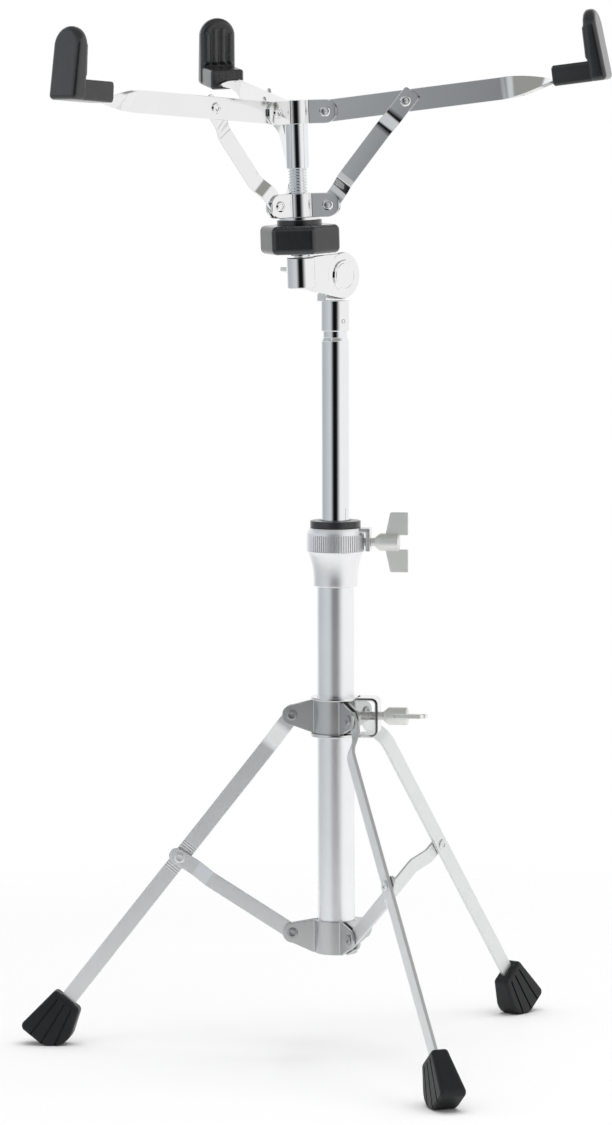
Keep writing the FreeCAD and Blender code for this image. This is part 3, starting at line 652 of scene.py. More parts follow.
def spokes(*pieces):
    """The number of each spoke with its copies of some pieces, and last the first spoke's own."""
    for k in reversed(SPOKES[1:]):
        yield (k, *[spare(piece, k) for piece in pieces])
    yield (SPOKES[0], *pieces)


def aim(piece, axis, degrees):
    """Turn a whole piece while it is still at the origin."""
    reopen(piece)
    turn(axis, degrees)
    rest()


def shift(piece, step):
    reopen(piece)
    slide(step)
    rest()


def clean(piece):
    """Merge doubles, face all faces outwards and unfold the piece by its own axes."""
    reopen(piece)
    bpy.ops.mesh.remove_doubles(threshold=MERGE)
    bpy.ops.mesh.normals_make_consistent(inside=False)
    bpy.ops.uv.cube_project(cube_size=1.0, correct_aspect=False, scale_to_bounds=False)
    rest()


def settle(piece, place, slot, body, *nodes, look=None):
    """Put a finished piece in its place and let it ride on a body of the frame."""
    clean(piece)
    choose(piece)
    bpy.ops.object.shade_smooth_by_angle(angle=math.radians(40))
    weighted = piece.modifiers.new("Flat faces", "WEIGHTED_NORMAL")
    weighted.keep_sharp = True
    bpy.ops.object.modifier_apply(modifier=weighted.name)
    piece.matrix_world = place
    bpy.ops.object.transform_apply(location=True, rotation=True, scale=True)
    piece.data.materials.clear()
    piece.data.materials.append(finish(look or slot))
    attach(piece, body)
    if nodes:
        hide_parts(*nodes)
    rest()


# Places in the frame
def pivot(name):
    return Vector(JOINTS[name]["pos_m"])


def axis(name):
    return Vector(JOINTS[name]["axis"]).normalized()


def place_at(origin, along, side):
    """A place with X along, Y sideways and Z square to both."""
    x, y = along.normalized(), side.normalized()
    place = Matrix((x, y, x.cross(y))).transposed().to_4x4()
    place.translation = origin
    return place


def hub_place(joint, centre):
    """A place on the axis of a hub or collar, with X towards one pivot."""
    return place_at(centre, pivot(joint) - centre, axis(joint))


def middle_of(joint):
    """The middle of the three pivots of a hub or collar."""
    return sum((pivot("%s_%d" % (joint, k)) for k in SPOKES), Vector()) / len(SPOKES)


def screw_place(joint):
    """A place on the tube's axis at a screw's height, with X along the screw."""
    along = axis(joint)
    return place_at(Vector((0, 0, pivot(joint).z)), along, UP.cross(along))


def stay_place(joint, strip, reach):
    """A stay's place, with X from its own pivot to its rivet on a strip."""
    start = pivot(joint)
    return place_at(start, strip @ Vector((reach, 0, 0)) - start, axis(joint))


def stay_length(joint, strip, reach):
    """Distance from a stay's own pivot to its rivet on a strip."""
    return (strip @ Vector((reach, 0, 0)) - pivot(joint)).length


def leg_run(legs):
    """Length of a leg from its pivot to the top of its foot."""
    return (pivot("leg_swing_1").z - legs.foot_height) / math.cos(legs.lean)


def leg_place(k):
    lean = bpy.context.scene.stand_legs.lean
    start = pivot("leg_swing_%d" % k)
    outward = Vector((start.x, start.y, 0)).normalized()
    return place_at(start, outward * math.sin(lean) - UP * math.cos(lean), axis("leg_swing_%d" % k))


def leg_stay_place(k):
    return stay_place("leg_stay_swing_%d" % k, leg_place(k), bpy.context.scene.stand_legs.to_stay)


def arm_place(k):
    rise = bpy.context.scene.stand_basket.rise
    start = pivot("arm_swing_%d" % k)
    outward = (start - middle_of("arm_swing")).normalized()
    along = outward * math.cos(rise) + axis("lower_hub_slide") * math.sin(rise)
    return place_at(start, along, axis("arm_swing_%d" % k))


def basket_stay_place(k):
    return stay_place("basket_stay_swing_%d" % k, arm_place(k), bpy.context.scene.stand_basket.to_stay)


def tilter_place(up):
    side = axis("basket_tilt")
    return place_at(pivot("basket_tilt"), side.cross(up), side)


def post_place():
    """The basket's post: X along the tilter's arm, the tilt axis at height zero."""
    tilter = bpy.context.scene.stand_tilter
    place = tilter_place(axis("lower_hub_slide"))
    return place @ Matrix.Translation((tilter.reach, tilter.side, 0))


# Finishes
class Wire:
    """A shader socket that can be used in plain sums."""

    def __init__(self, kit, socket):
        self.kit = kit
        self.socket = socket

    def math(self, operation, first, second):
        return self.kit.node("ShaderNodeMath", {"operation": operation}, {0: first, 1: second})

    def __add__(self, other):
        return self.math("ADD", self, other)

    def __radd__(self, other):
        return self.math("ADD", other, self)

    def __sub__(self, other):
        return self.math("SUBTRACT", self, other)

    def __rsub__(self, other):
        return self.math("SUBTRACT", other, self)

    def __mul__(self, other):
        return self.math("MULTIPLY", self, other)

    def __rmul__(self, other):
        return self.math("MULTIPLY", other, self)


class Kit:
    """The nodes of one material or of the world."""

    def __init__(self, owner):
        owner.use_nodes = True
        self.tree = owner.node_tree
        self.tree.nodes.clear()

    def node(self, kind, settings=None, sockets=None, output=0):
        made = self.tree.nodes.new(kind)
        for name, value in (settings or {}).items():
            setattr(made, name, value)
        for name, value in (sockets or {}).items():
            if isinstance(value, Wire):
                self.tree.links.new(value.socket, made.inputs[name])
            else:
                made.inputs[name].default_value = value
        return Wire(self, made.outputs[output]) if made.outputs else None

    def noise(self, place, scale, detail):
        return self.node("ShaderNodeTexNoise", {}, {"Vector": place, "Scale": scale, "Detail": detail})

    def stretched(self, place, scale):
        return self.node("ShaderNodeMapping", {}, {"Vector": place, "Scale": scale})

    def mix(self, share, first, second):
        return self.node("ShaderNodeMix", {"data_type": "RGBA"}, {0: share, 6: first, 7: second}, 2)

    def ramp(self, value, low, high):
        """Zero below low, one above high, and smooth between."""
        return self.node(
            "ShaderNodeMapRange",
            {"interpolation_type": "SMOOTHSTEP"},
            {"Value": value, "From Min": low, "From Max": high},
        )


def rgba(values, share=1.0):
    return tuple(value * share for value in values) + (1.0,)


def plated(name, tint, rough, haze, lines, line_scale):
    """Plated steel: drawn lines, a cloudy polish and a fine grain."""
    material = bpy.data.materials.new(name)
    kit = Kit(material)
    spot = kit.node("ShaderNodeTexCoord", output="Object")
    unfolded = kit.node("ShaderNodeTexCoord", output="UV")
    cloud = kit.noise(spot, PLATE_CLOUD, 4.0)
    grain = kit.noise(spot, PLATE_GRAIN, 2.0)
    drawn = kit.noise(kit.stretched(unfolded, line_scale), 1.0, 3.0)
    level = rough + haze * (cloud - 0.5) + lines * 0.1 * (drawn - 0.5)
    height = drawn * lines + grain * (0.08 * rough)
    bump = kit.node("ShaderNodeBump", {}, {"Strength": 0.25, "Distance": 0.00005, "Height": height})
    shade = kit.mix(cloud, rgba(tint, 0.93), rgba(tint))
    shader = kit.node(
        "ShaderNodeBsdfPrincipled",
        {},
        {"Base Color": shade, "Metallic": 1.0, "Roughness": level, "Normal": bump},
    )
    kit.node("ShaderNodeOutputMaterial", {}, {"Surface": shader})
    return material


def moulded(name, tint, rough, shine, gloss, speckle, depth):
    """Rubber, nylon or plastic: a fine moulded skin with a soft gloss and handling marks."""
    material = bpy.data.materials.new(name)
    kit = Kit(material)
    spot = kit.node("ShaderNodeTexCoord", output="Object")
    cloud = kit.noise(spot, SKIN_CLOUD, 4.0)
    grain = kit.noise(spot, speckle, 3.0)
    level = rough + 0.16 * (cloud - 0.5) + 0.1 * (grain - 0.5)
    bump = kit.node("ShaderNodeBump", {}, {"Strength": 0.5, "Distance": depth, "Height": grain})
    shade = kit.mix(cloud, rgba(tint, 0.35), rgba(tint, 0.7))
    shader = kit.node(
        "ShaderNodeBsdfPrincipled",
        {},
        {
            "Base Color": shade,
            "Roughness": level,
            "Normal": bump,
            "Specular IOR Level": shine,
            "Coat Weight": gloss * (0.7 + 0.6 * cloud),
            "Coat Roughness": rough * 0.8,
        },
    )
    kit.node("ShaderNodeOutputMaterial", {}, {"Surface": shader})
    return material


def finish(name):
    """The material of one finish, made when it is first asked for."""
    if name not in FINISHES:
        colours = bpy.context.scene.stand_finishes
        tint = tuple(getattr(colours, name))
        mirror, satin = colours.mirror, colours.satin
        along, upright = (COARSE, FINE, 1.0), (FINE, COARSE, 1.0)
        plates = {
            "leg_steel": (satin * 1.4, 0.06, 0.15, along),
            "pressed_steel": (satin * 1.1, 0.08, 0.3, along),
            "basket_chrome": (mirror, 0.05, 0.15, along),
            "collar_chrome": (mirror * 2, 0.06, 0.3, along),
            "tube_satin": (satin, 0.05, 0.4, upright),
            "tube_chrome": (mirror, 0.04, 0.12, upright),
            "cast_satin": (satin * 1.15, 0.06, 0.3, upright),
            "tilter_chrome": (mirror, 0.04, 0.1, along),
            "screw_chrome": (satin * 1.8, 0.06, 0.2, along),
            "rivet_steel": (satin * 1.1, 0.08, 0.3, along),
            "pin_steel": (satin, 0.1, 0.4, along),
        }
        skins = {
            "nylon": (0.3, 0.5, 0.4, 900.0, 0.00005),
            "knob_plastic": (0.2, 0.5, 0.5, 1200.0, 0.00002),
            "foot_rubber": (0.45, 0.25, 0.1, 700.0, 0.00012),
            "tip_rubber": (0.3, 0.5, 0.6, 800.0, 0.00001),
        }
        if name in plates:
            FINISHES[name] = plated(name, tint, *plates[name])
        else:
            FINISHES[name] = moulded(name, tint, *skins[name])
    return FINISHES[name]


# Pieces
def headed(name, reach, rivets):
    """A rivet along Y with a dished head at each end."""
    near = [(rivets.rivet_head * r, reach + rivets.rivet_rise * z) for r, z in RIVET_HEAD]
    far = [(r, -z) for r, z in reversed(near)]
    piece = turned(name, far + near, SMALL_SIDES)
    aim(piece, "X", -90)
    return piece


def half_rivet(name, place, rise, rivets):
    """A rivet head along Y that stands on a face at this place."""
    head = [(rivets.rivet_head * r, abs(rise) * z) for r, z in RIVET_HEAD]
    root = (rivets.rivet_head * RIVET_ROOT, -OVERLAP)
    piece = turned(name, [root] + head, SMALL_SIDES)
    aim(piece, "X", math.copysign(90, -rise))
    shift(piece, place)
    return piece


def plate_ring(level, joint, centre, body, bore, sheet, ear, slot, looks):
    """Three pressed plates round a tube or post, and a rivet through each pair of ears."""
    thickness, gap, bend = sheet
    reach = (pivot(joint + "_1") - centre).length
    plate = pressed_plate(level + "_pressing", bore, thickness, gap, reach, *ear, bend)
    soften(plate, PLATE_EDGE)
    rivet = headed(level + "_rivet", gap / 2 + thickness, bpy.context.scene.stand_collars)
    shift(rivet, (reach, 0, 0))
    plate_look, rivet_look = looks
    for k, one, pin in zip(SPOKES, three_of(plate), three_of(rivet)):
        place = hub_place("%s_%d" % (joint, k), centre)
        settle(one, place, slot, body, "%s_plate_%d" % (level, k), look=plate_look)
        settle(pin, place, slot, body, level + "_rivets", look=rivet_look)


class STAND_OT_tubes(bpy.types.Operator):
    """Make the base tube and the upper tube"""

    bl_idname = "stand.tubes"
    bl_label = "Tubes"

    def execute(self, context):
        tubes = context.scene.stand_tubes
        low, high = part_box("base_tube")
        profile = [(tubes.base_radius, low.z), (tubes.base_radius, high.z)]
        base = turned("base_tube_shell", profile, BIG_SIDES)
        pick("FACE", faces_down)
        bpy.ops.mesh.inset(thickness=tubes.base_wall)
        push((0, 0, tubes.base_radius))
        soften(base, TUBE_EDGE)
        settle(base, Matrix.Identity(4), "tube_satin", "base", "base_tube")
        low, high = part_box("upper_tube")
        neck = tubes.shoulder + tubes.neck_run
        profile = [(tubes.upper_radius, low.z), (tubes.upper_radius, tubes.shoulder)]
        profile += [(tubes.neck_radius, neck), (tubes.neck_radius, high.z)]
        upper = turned("upper_tube_shell", profile, BIG_SIDES)
        soften(upper, TUBE_EDGE, angle=20)
        settle(upper, Matrix.Identity(4), "tube_chrome", "column", "upper_tube")
        return {"FINISHED"}


class STAND_OT_collars(bpy.types.Operator):
    """Make the pressed plates, rivets and clamping strap of the two leg collars"""

    bl_idname = "stand.collars"
    bl_label = "Leg collars"

    def execute(self, context):
        collars, tubes = context.scene.stand_collars, context.scene.stand_tubes
        looks = ("pressed_steel", "rivet_steel")
        lower = (collars.lower_gap, collars.lower_below, collars.lower_above)
        upper = (collars.upper_gap, collars.upper_below, collars.upper_above)
        for level, joint, body, (gap, below, above) in (
            ("lower", "leg_stay_swing", "base", lower),
            ("collar", "leg_swing", "leg_collar", upper),
        ):
            centre = Vector((0, 0, pivot(joint + "_1").z))
            sheet = (collars.thickness, gap, collars.bend)
            ear = (collars.ear_tip, below, above)
            plate_ring(level, joint, centre, body, tubes.base_radius, sheet, ear, "leg_steel", looks)
        self.strap(collars, tubes)
        return {"FINISHED"}

    def strap(self, collars, tubes):
        """A strap bent twice, with a ring round the tube at each end."""
        half = collars.strap_thickness / 2
        low, high = -collars.upper_below - half, collars.upper_above + half
        bend = collars.strap_bend
        elbow = collars.strap_reach - half - bend
        start = tubes.base_radius + collars.ring_wall / 2
        strap = plane("collar_strap_bent")
        facing_x(collars.strap_width, collars.strap_thickness, (start, 0, low))
        push((elbow - start, 0, 0))
        rise = (0, 0, high - low - 2 * bend)
        for height, run in ((low + bend, rise), (high - bend, (start - elbow, 0, 0))):
            about = (elbow, 0, height)
            bpy.ops.mesh.spin(steps=ELBOW_STEPS, angle=math.radians(90), center=about, axis=(0, 1, 0))
            push(run)
        soften(strap, STRAP_EDGE)
        rings = []
        for level in (low, high):
            edge = tubes.base_radius + collars.ring_wall
            profile = [(edge, level - half), (edge, level + half)]
            rings.append(turned("collar_ring", profile, ROUND_SIDES))
            bored(profile, tubes.base_radius)
            soften(rings[-1], STRAP_EDGE)
        join(strap, *rings)
        settle(strap, screw_place("collar_screw_turn"), "collar_chrome", "leg_collar", "collar_strap")


class STAND_OT_legs(bpy.types.Operator):
    """Make the three legs, their stays and the rivets between them"""

    bl_idname = "stand.legs"
    bl_label = "Legs and stays"

    def execute(self, context):
        legs, rivets = context.scene.stand_legs, context.scene.stand_collars
        visible = leg_run(legs)
        path = [(0, 0), (legs.tab, 0), (legs.tab + legs.joggle, -legs.offset)]
        path = eased(path + [(visible, -legs.offset)], LEG_EASE)[:-1]
        path += self.ripples(legs) + [(visible + legs.in_foot, -legs.offset)]
        leg = bar("leg_strip", path, legs.thickness, legs.width, True, False)
        soften(leg, STRIP_EDGE)
        length = stay_length("leg_stay_swing_1", leg_place(1), legs.to_stay)
        side = -legs.offset + (legs.thickness + legs.stay_thickness) / 2 + legs.layer_gap
        bend = length - legs.stay_tab
        path = [(0, 0), (bend - legs.stay_joggle, 0), (bend, side), (length + legs.stay_tail, side)]
        path = eased(path, STAY_EASE)
        stay = bar("leg_stay_strip", path, legs.stay_thickness, legs.stay_width, True, True)
        soften(stay, STRIP_EDGE)
        face = side + legs.stay_thickness / 2
        join(stay, half_rivet("leg_stay_boss", (length, face, 0), legs.boss_rise, rivets))
        face = -legs.offset - legs.thickness / 2
        rivet = half_rivet("leg_rivet_head", (legs.to_stay, face, 0), -rivets.rivet_rise, rivets)
        for k, one, brace, pin in spokes(leg, stay, rivet):
            settle(one, leg_place(k), "leg_steel", "leg_%d" % k, "leg_%d" % k)
            settle(brace, leg_stay_place(k), "leg_steel", "leg_stay_%d" % k, "leg_stay_%d" % k)
            settle(pin, leg_place(k), "leg_steel", "leg_%d" % k, "leg_rivet_%d" % k)
        return {"FINISHED"}

    def ripples(self, legs):
        """Ripples pressed into a leg above and below its stay's rivet, four points to a wave."""
        quarters = range(4 * RIPPLES + 1)
        reach = [legs.ripple_start + legs.ripple_pitch * step / 4 for step in quarters]
        waves = [legs.ripple * math.sin(math.pi * step / 2) - legs.offset for step in quarters]
        above = [(legs.to_stay - out, side) for out, side in zip(reach, waves)]
        below = [(legs.to_stay + out, side) for out, side in zip(reach, waves)]
        return above[::-1] + below


class STAND_OT_feet(bpy.types.Operator):
    """Make the three fluted rubber feet"""

    bl_idname = "stand.feet"
    bl_label = "Feet"

    def execute(self, context):
        legs, feet = context.scene.stand_legs, context.scene.stand_feet
        to_foot = Matrix.Translation((leg_run(legs), -legs.offset, 0))
        foot = plane("foot_fan")
        facing_x(2 * feet.top_depth, 2 * feet.top_width, HERE)
        middle = (feet.outer - feet.inner) / 2
        push((feet.length, 0, middle))
        wide = (feet.outer + feet.inner) / (2 * feet.top_width)
        grow((1, feet.bottom_depth / feet.top_depth, wide), (feet.length, 0, middle))
        self.round_off(feet, feet.inner, feet.rocker, -1, ROCKER_STEPS)
        self.round_off(feet, feet.outer, feet.corner, 1, CORNER_STEPS)
        floor = (leg_place(1) @ to_foot).inverted()
        slice_off(floor @ Vector(HERE), floor.to_3x3() @ -UP)
        soften(foot, feet.edge, segments=4, angle=50, clamp=False)
        reopen(foot)
        self.flute(feet)
        for k, one in spokes(foot):
            settle(one, leg_place(k) @ to_foot, "foot_rubber", "leg_%d" % k, "foot_%d" % k)
        return {"FINISHED"}

    def flute(self, feet):
        """Sink fanning grooves into both broad faces."""
        lines = []
        for groove in range(feet.grooves):
            share = (groove + 1) / (feet.grooves + 1)
            head = Vector((0, 0, feet.top_width * (2 * share - 1)))
            tail = Vector((feet.length, 0, -feet.inner + (feet.inner + feet.outer) * share))
            across = (tail - head).cross(Vector((0, 1, 0))).normalized()
            lines.append((head, across))
            for side in (-0.5, 0.5):
                score(head + across * feet.groove * side, across)
        score((feet.lip, 0, 0), (1, 0, 0))

        def in_groove(middle, face):
            if abs(face.normal.y) < BROAD or middle.x < feet.lip:
                return False
            return any(abs((middle - head).dot(across)) < feet.groove / 2 for head, across in lines)

        pick("FACE", in_groove)
        sink(feet.groove_depth)

    def round_off(self, feet, reach, radius, side, steps):
        """Cut a lower corner to a radius: the inner one for side -1, the outer one for side 1."""
        slope = math.degrees(math.atan2(reach - feet.top_width, feet.length))
        half = math.radians(90 - slope) / 2
        centre = Vector((feet.length - radius, 0, side * (reach - radius / math.tan(half))))
        for step in range(1, steps):
            angle = math.radians((90 + slope) * step / steps)
            outward = Vector((math.cos(angle), 0, side * math.sin(angle)))
            slice_off(centre + outward * radius, outward)


class STAND_OT_clamp(bpy.types.Operator):
    """Make the height clamp casting and its nylon bushing"""

    bl_idname = "stand.clamp"
    bl_label = "Height clamp"

    def execute(self, context):
        clamp, tubes = context.scene.stand_clamp, context.scene.stand_tubes
        low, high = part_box("height_clamp")
        flare_low = low.z + clamp.skirt
        flare_top = flare_low + clamp.flare
        band_top = flare_top + clamp.band
        profile = [(clamp.skirt_radius - SKIRT_LIP, low.z), (clamp.skirt_radius, low.z + SKIRT_LIP)]
        profile.append((clamp.skirt_radius, flare_low))
        inner = clamp.band_radius - clamp.knurl
        for step in range(1, FLARE_STEPS + 1):
            share = step / FLARE_STEPS
            wide = clamp.skirt_radius + (inner - clamp.skirt_radius) * share ** FLARE_POWER
            profile.append((wide, flare_low + clamp.flare * share))
        profile += [(clamp.band_radius, flare_top + clamp.knurl), (clamp.band_radius, band_top)]
        profile.append((clamp.rim_radius, high.z))
        casting = turned("clamp_casting", profile, 2 * clamp.ribs)
        step = math.pi / clamp.ribs

        def between_ribs(middle, face):
            azimuth = math.atan2(middle.y, middle.x)
            if not flare_top + clamp.knurl < middle.z < band_top or abs(face.normal.z) > LEVEL:
                return False
            return abs(azimuth) < math.pi - clamp.plain and int((azimuth + math.pi) / step) % 2

        pick("FACE", between_ribs)
        sink(clamp.knurl)
        bored(profile, tubes.base_radius)
        soften(casting, KNURL_EDGE, segments=1, angle=32)
        join(casting, self.lug(clamp, high.z))
        place = screw_place("height_screw_turn")
        place.translation = HERE
        settle(casting, place, "cast_satin", "base", "height_clamp")
        settle(self.bushing(clamp, tubes, high.z), place, "nylon", "base", "height_bushing")
        return {"FINISHED"}

    def bushing(self, clamp, tubes, face):
        """A sleeve inside the base tube and a flange on the casting, dished round the upper tube."""
        low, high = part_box("height_bushing")
        bore, flange = tubes.upper_radius, clamp.flange_radius
        sleeve = bore + BUSH_SLEEVE
        profile = [(sleeve, low.z), (sleeve, face), (flange, face), (flange, high.z)]
        profile += [(bore + BUSH_MOUTH, high.z), (bore + BUSH_BORE, high.z - BUSH_DISH)]
        bushing = turned("bushing_flange", profile, BIG_SIDES)
        soften(bushing, FLANGE_EDGE, segments=3)
        return bushing

    def lug(self, clamp, top):
        """A roof that reaches out from the casting, and the wall that holds the screw."""
        wall = clamp.lug_wall
        inner = clamp.band_radius - LUG_ROOT
        lug = plane("clamp_lug")
        facing_x(clamp.lug_width, wall, (inner, 0, top - wall / 2))
        push((clamp.lug_reach - wall - inner, 0, 0))
        push((wall, 0, 0))
        pick("FACE", lambda middle, face: faces_down(middle, face) and middle.x > clamp.lug_reach - wall)
        push((0, 0, pivot("height_screw_turn").z - clamp.lug_below - top + wall))
        soften(lug, LUG_EDGE)
        return lug


class STAND_OT_wings(bpy.types.Operator):
    """Make the two wing screws and the tilter's wing nut"""

    bl_idname = "stand.wings"
    bl_label = "Wing screws"

    def execute(self, context):
        wings, tilter = context.scene.stand_wings, context.scene.stand_tilter
        lug, strap = context.scene.stand_clamp.lug_reach, context.scene.stand_collars.strap_reach
        tube = context.scene.stand_tubes.base_radius
        for name, edge, tip, reach, blade_turn in (
            ("height", lug, tube, wings.reach, 0.0),
            ("collar", strap, tube + COLLAR_TIP, wings.long_reach, wings.collar_turn),
        ):
            start = edge + wings.stand_off
            head = self.head(name + "_wing", wings, start, wings.span, reach)
            join(head, self.shank(name + "_screw_shank", wings, tip, start))
            place = screw_place(name + "_screw_turn") @ Matrix.Rotation(blade_turn, 4, "X")
            settle(head, place, "screw_chrome", name + "_screw", name + "_wing_screw")
        start = tilter.jaw_thickness + tilter.jaw_gap
        head = self.head("tilter_wing", wings, start, wings.nut_span, wings.reach)
        place = place_at(pivot("tilter_nut_turn"), -axis("tilter_nut_turn"), UP)
        place = place @ Matrix.Rotation(wings.nut_turn, 4, "X")
        settle(head, place, "screw_chrome", "tilter_nut", "tilter_wing_nut")
        return {"FINISHED"}

    def head(self, name, wings, start, span, reach):
        """A hub along X with a tapered neck and two blades."""
        wide, tail = wings.hub_radius, start + wings.hub_length
        profile = [(wings.neck_radius, start), (wide, start + wings.neck_length)]
        profile += [(wide, tail - HUB_CHAMFER), (wide - HUB_CHAMFER, tail)]
        hub = turned(name + "_head", profile, WING_SIDES)
        aim(hub, "Y", 90)
        blade = plane(name + "_blade")
        near, far = start + wings.start, start + reach
        grow((far - near, wings.blade, 1))
        slide(((near + far) / 2, 0, wide - BLADE_ROOT))
        push((0, 0, span / 2 - wide + BLADE_ROOT))
        grow(((far - near - wings.slope) / (far - near), BLADE_TAPER, 1), (far, 0, 0))
        pick("EDGE", lambda middle, edge: middle.z > span / 2 - MM and abs(middle.y) < 0.1 * MM)
        bpy.ops.mesh.bevel(offset=HUB_CHAMFER, segments=3, affect="EDGES")
        soften(blade, BLADE_EDGE)
        other = copy_of(blade, name + "_blade_low")
        aim(other, "X", 180)
        return join(hub, blade, other)

    def shank(self, name, wings, tip, start):
        """A threaded shank along X."""
        crest, root = wings.screw, wings.screw * SCREW_ROOT
        profile = [(crest * SCREW_TIP, tip)]
        for ring in range(1, int((start - tip) / SCREW_PITCH)):
            at = tip + ring * SCREW_PITCH
            profile += [(root, at - SCREW_PITCH / 3), (crest, at), (crest, at + SCREW_PITCH / 5)]
        profile.append((crest, start + MM))
        piece = turned(name, profile, SMALL_SIDES)
        aim(piece, "Y", 90)
        return piece


class STAND_OT_tilter(bpy.types.Operator):
    """Make the tilter's base, arm, bolt and rolled pin"""

    bl_idname = "stand.tilter"
    bl_label = "Tilter"

    def execute(self, context):
        tilter = context.scene.stand_tilter
        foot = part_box("tilter_base")[0].z - pivot("basket_tilt").z
        shoulder = -tilter.jaw_radius - tilter.relief
        wide = tilter.stem_radius
        stem = turned("tilter_stem", [(wide, foot), (wide, shoulder)], ROUND_SIDES)
        soften(stem, STEM_EDGE, segments=3)
        jaw = self.jaw("tilter_jaw", tilter, -1)
        neck = plane("tilter_neck")
        grow((NECK_WIDTH * wide, self.web_thickness(tilter), 1))
        slide((0, -(tilter.jaw_thickness + tilter.jaw_gap / 2) / 2, shoulder - MM))
        push((0, 0, wide))
        soften(neck, STEM_EDGE, segments=3)
        join(stem, jaw, neck)
        settle(stem, tilter_place(UP), "tilter_chrome", "column", "tilter_base")
        place = tilter_place(axis("lower_hub_slide"))
        settle(self.arm(tilter), place, "tilter_chrome", "basket", "tilter_arm")
        settle(self.bolt(tilter), place, "tilter_chrome", "basket", "tilter_bolt")
        low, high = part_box("tilter_pin")
        along = Matrix.Rotation(tilter.pin_azimuth, 3, "Z") @ Vector((1, 0, 0))
        place = place_at((low + high) / 2, along, UP.cross(along))
        settle(self.pin(tilter), place, "pin_steel", "column", "tilter_pin")
        return {"FINISHED"}

    def web_thickness(self, tilter):
        """Thickness of the web beside a jaw."""
        return tilter.jaw_thickness - tilter.jaw_gap / 2 - tilter.recess

    def pin(self, tilter):
        """A rolled pin along X, hollow at both ends."""
        half, wide = tilter.stem_radius + PIN_PROUD, tilter.pin_radius
        end = [(wide * share, half - inset * MM) for share, inset in PIN_END]
        pin = turned("tilter_roll_pin", end + [(across, -out) for across, out in reversed(end)], PIN_SIDES)
        aim(pin, "Y", 90)
        return pin

    def jaw(self, name, tilter, side):
        """A round jaw along Y, on one side of the middle."""
        wide, far = tilter.jaw_radius, tilter.jaw_thickness
        profile = [(wide, tilter.jaw_gap / 2)]
        profile += [(wide - inset * MM, far - drop * MM) for inset, drop in JAW_RIM]
        jaw = turned(name, profile + [(wide * JAW_FACE, far)], BIG_SIDES)
        aim(jaw, "X", -90 * side)
        return jaw

    def arm(self, tilter):
        """A jaw, a tapering web and an upright socket."""
        middle = (tilter.jaw_thickness + tilter.jaw_gap / 2 - tilter.recess / 2) / 2
        tall = tilter.jaw_radius * WEB_HEIGHT
        start = tilter.jaw_radius * WEB_START
        above, below = tilter.socket_above, tilter.socket_below
        web = plane("tilter_web")
        facing_x(self.web_thickness(tilter), 2 * tall, (start, middle, 0))
        drop = (above - below) / 2
        push((tilter.reach - start, 0, drop))
        grow((1, 1, (above + below) / (2 * tall)), (tilter.reach, 0, drop))
        soften(web, WEB_EDGE, segments=3)
        socket = turned("tilter_socket", [(tilter.socket_radius, -below), (tilter.socket_radius, above)])
        soften(socket, SOCKET_EDGE, segments=3)
        shift(socket, (tilter.reach, tilter.side, 0))
        return join(web, self.jaw("tilter_arm_jaw", tilter, 1), socket)

    def bolt(self, tilter):
        """A domed cap with a stepped rim, and the bolt's tail behind the nut."""
        wide, face = tilter.cap_radius, tilter.jaw_thickness
        edge = face + tilter.cap_edge
        profile = [(wide, face - OVERLAP)]
        profile += [(wide - inset * MM, edge - drop * MM) for inset, drop in CAP_RIM]
        dome = profile[-1][0]
        profile += [(dome * share, edge + tilter.cap_dome * (1 - share ** 2)) for share in DOME_SHARES]
        cap = turned("tilter_cap", profile, ROUND_SIDES)
        tail = -face - tilter.bolt_tail
        thick = tilter.bolt_radius
        shank = [(thick - ROD_EDGE, tail), (thick, tail + ROD_EDGE), (thick, 0)]
        join(cap, turned("tilter_bolt_tail", shank, BOLT_SIDES))
        aim(cap, "X", -90)
        return cap


class STAND_OT_post(bpy.types.Operator):
    """Make the basket's post with its thread"""

    bl_idname = "stand.post"
    bl_label = "Basket post"

    def execute(self, context):
        basket, tilter = context.scene.stand_basket, context.scene.stand_tilter
        top = post_place().inverted() @ middle_of("arm_swing")
        profile = [(basket.post_radius, basket.thread_top), (basket.post_radius, top.z + basket.hub_half)]
        post = turned("basket_post_rod", profile, POST_SIDES)
        soften(post, ROD_EDGE)
        join(post, self.thread(basket, tilter.socket_above - MM))
        settle(post, post_place(), "tube_chrome", "basket", "basket_post")
        return {"FINISHED"}

    def thread(self, basket, low):
        """One ridge of the thread, carried up the post by a screw."""
        crest, pitch = basket.thread_radius, basket.thread_pitch
        root = crest - basket.thread_depth
        thread = plane("basket_thread")
        pick("VERT", lambda middle, vertex: middle.y > 0 or middle.x > 0)
        bpy.ops.mesh.delete(type="VERT")
        bpy.ops.mesh.select_all(action="SELECT")
        slide((root + 0.5, 0.5, low))
        last = root
        for wide, rise in zip((crest, crest, root, root), THREAD_RISES):
            push((wide - last, 0, rise * pitch))
            last = wide
        choose(thread)
        screw = thread.modifiers.new("Thread", "SCREW")
        screw.screw_offset = pitch
        screw.iterations = int((basket.thread_top + pitch - low) / pitch)
        screw.steps = SMALL_SIDES
        screw.render_steps = SMALL_SIDES
        screw.use_merge_vertices = True
        screw.merge_threshold = MERGE
        bpy.ops.object.modifier_apply(modifier=screw.name)
        return thread


class STAND_OT_hubs(bpy.types.Operator):
    """Make the pressed plates and rivets of the two basket hubs"""

    bl_idname = "stand.hubs"
    bl_label = "Basket hubs"

    def execute(self, context):
        basket = context.scene.stand_basket
        ear = (basket.hub_half,) * 3
        for level, joint, body, gap, room in (
            ("upper_hub", "arm_swing", "basket", basket.upper_gap, 0),
            ("lower_hub", "basket_stay_swing", "lower_hub", basket.lower_gap, basket.hub_room),
        ):
            bore = basket.post_radius + room
            sheet = (basket.plate, gap, basket.hub_bend)
            centre = middle_of(joint)
            plate_ring(level, joint, centre, body, bore, sheet, ear, "basket_chrome", (None, None))
        return {"FINISHED"}


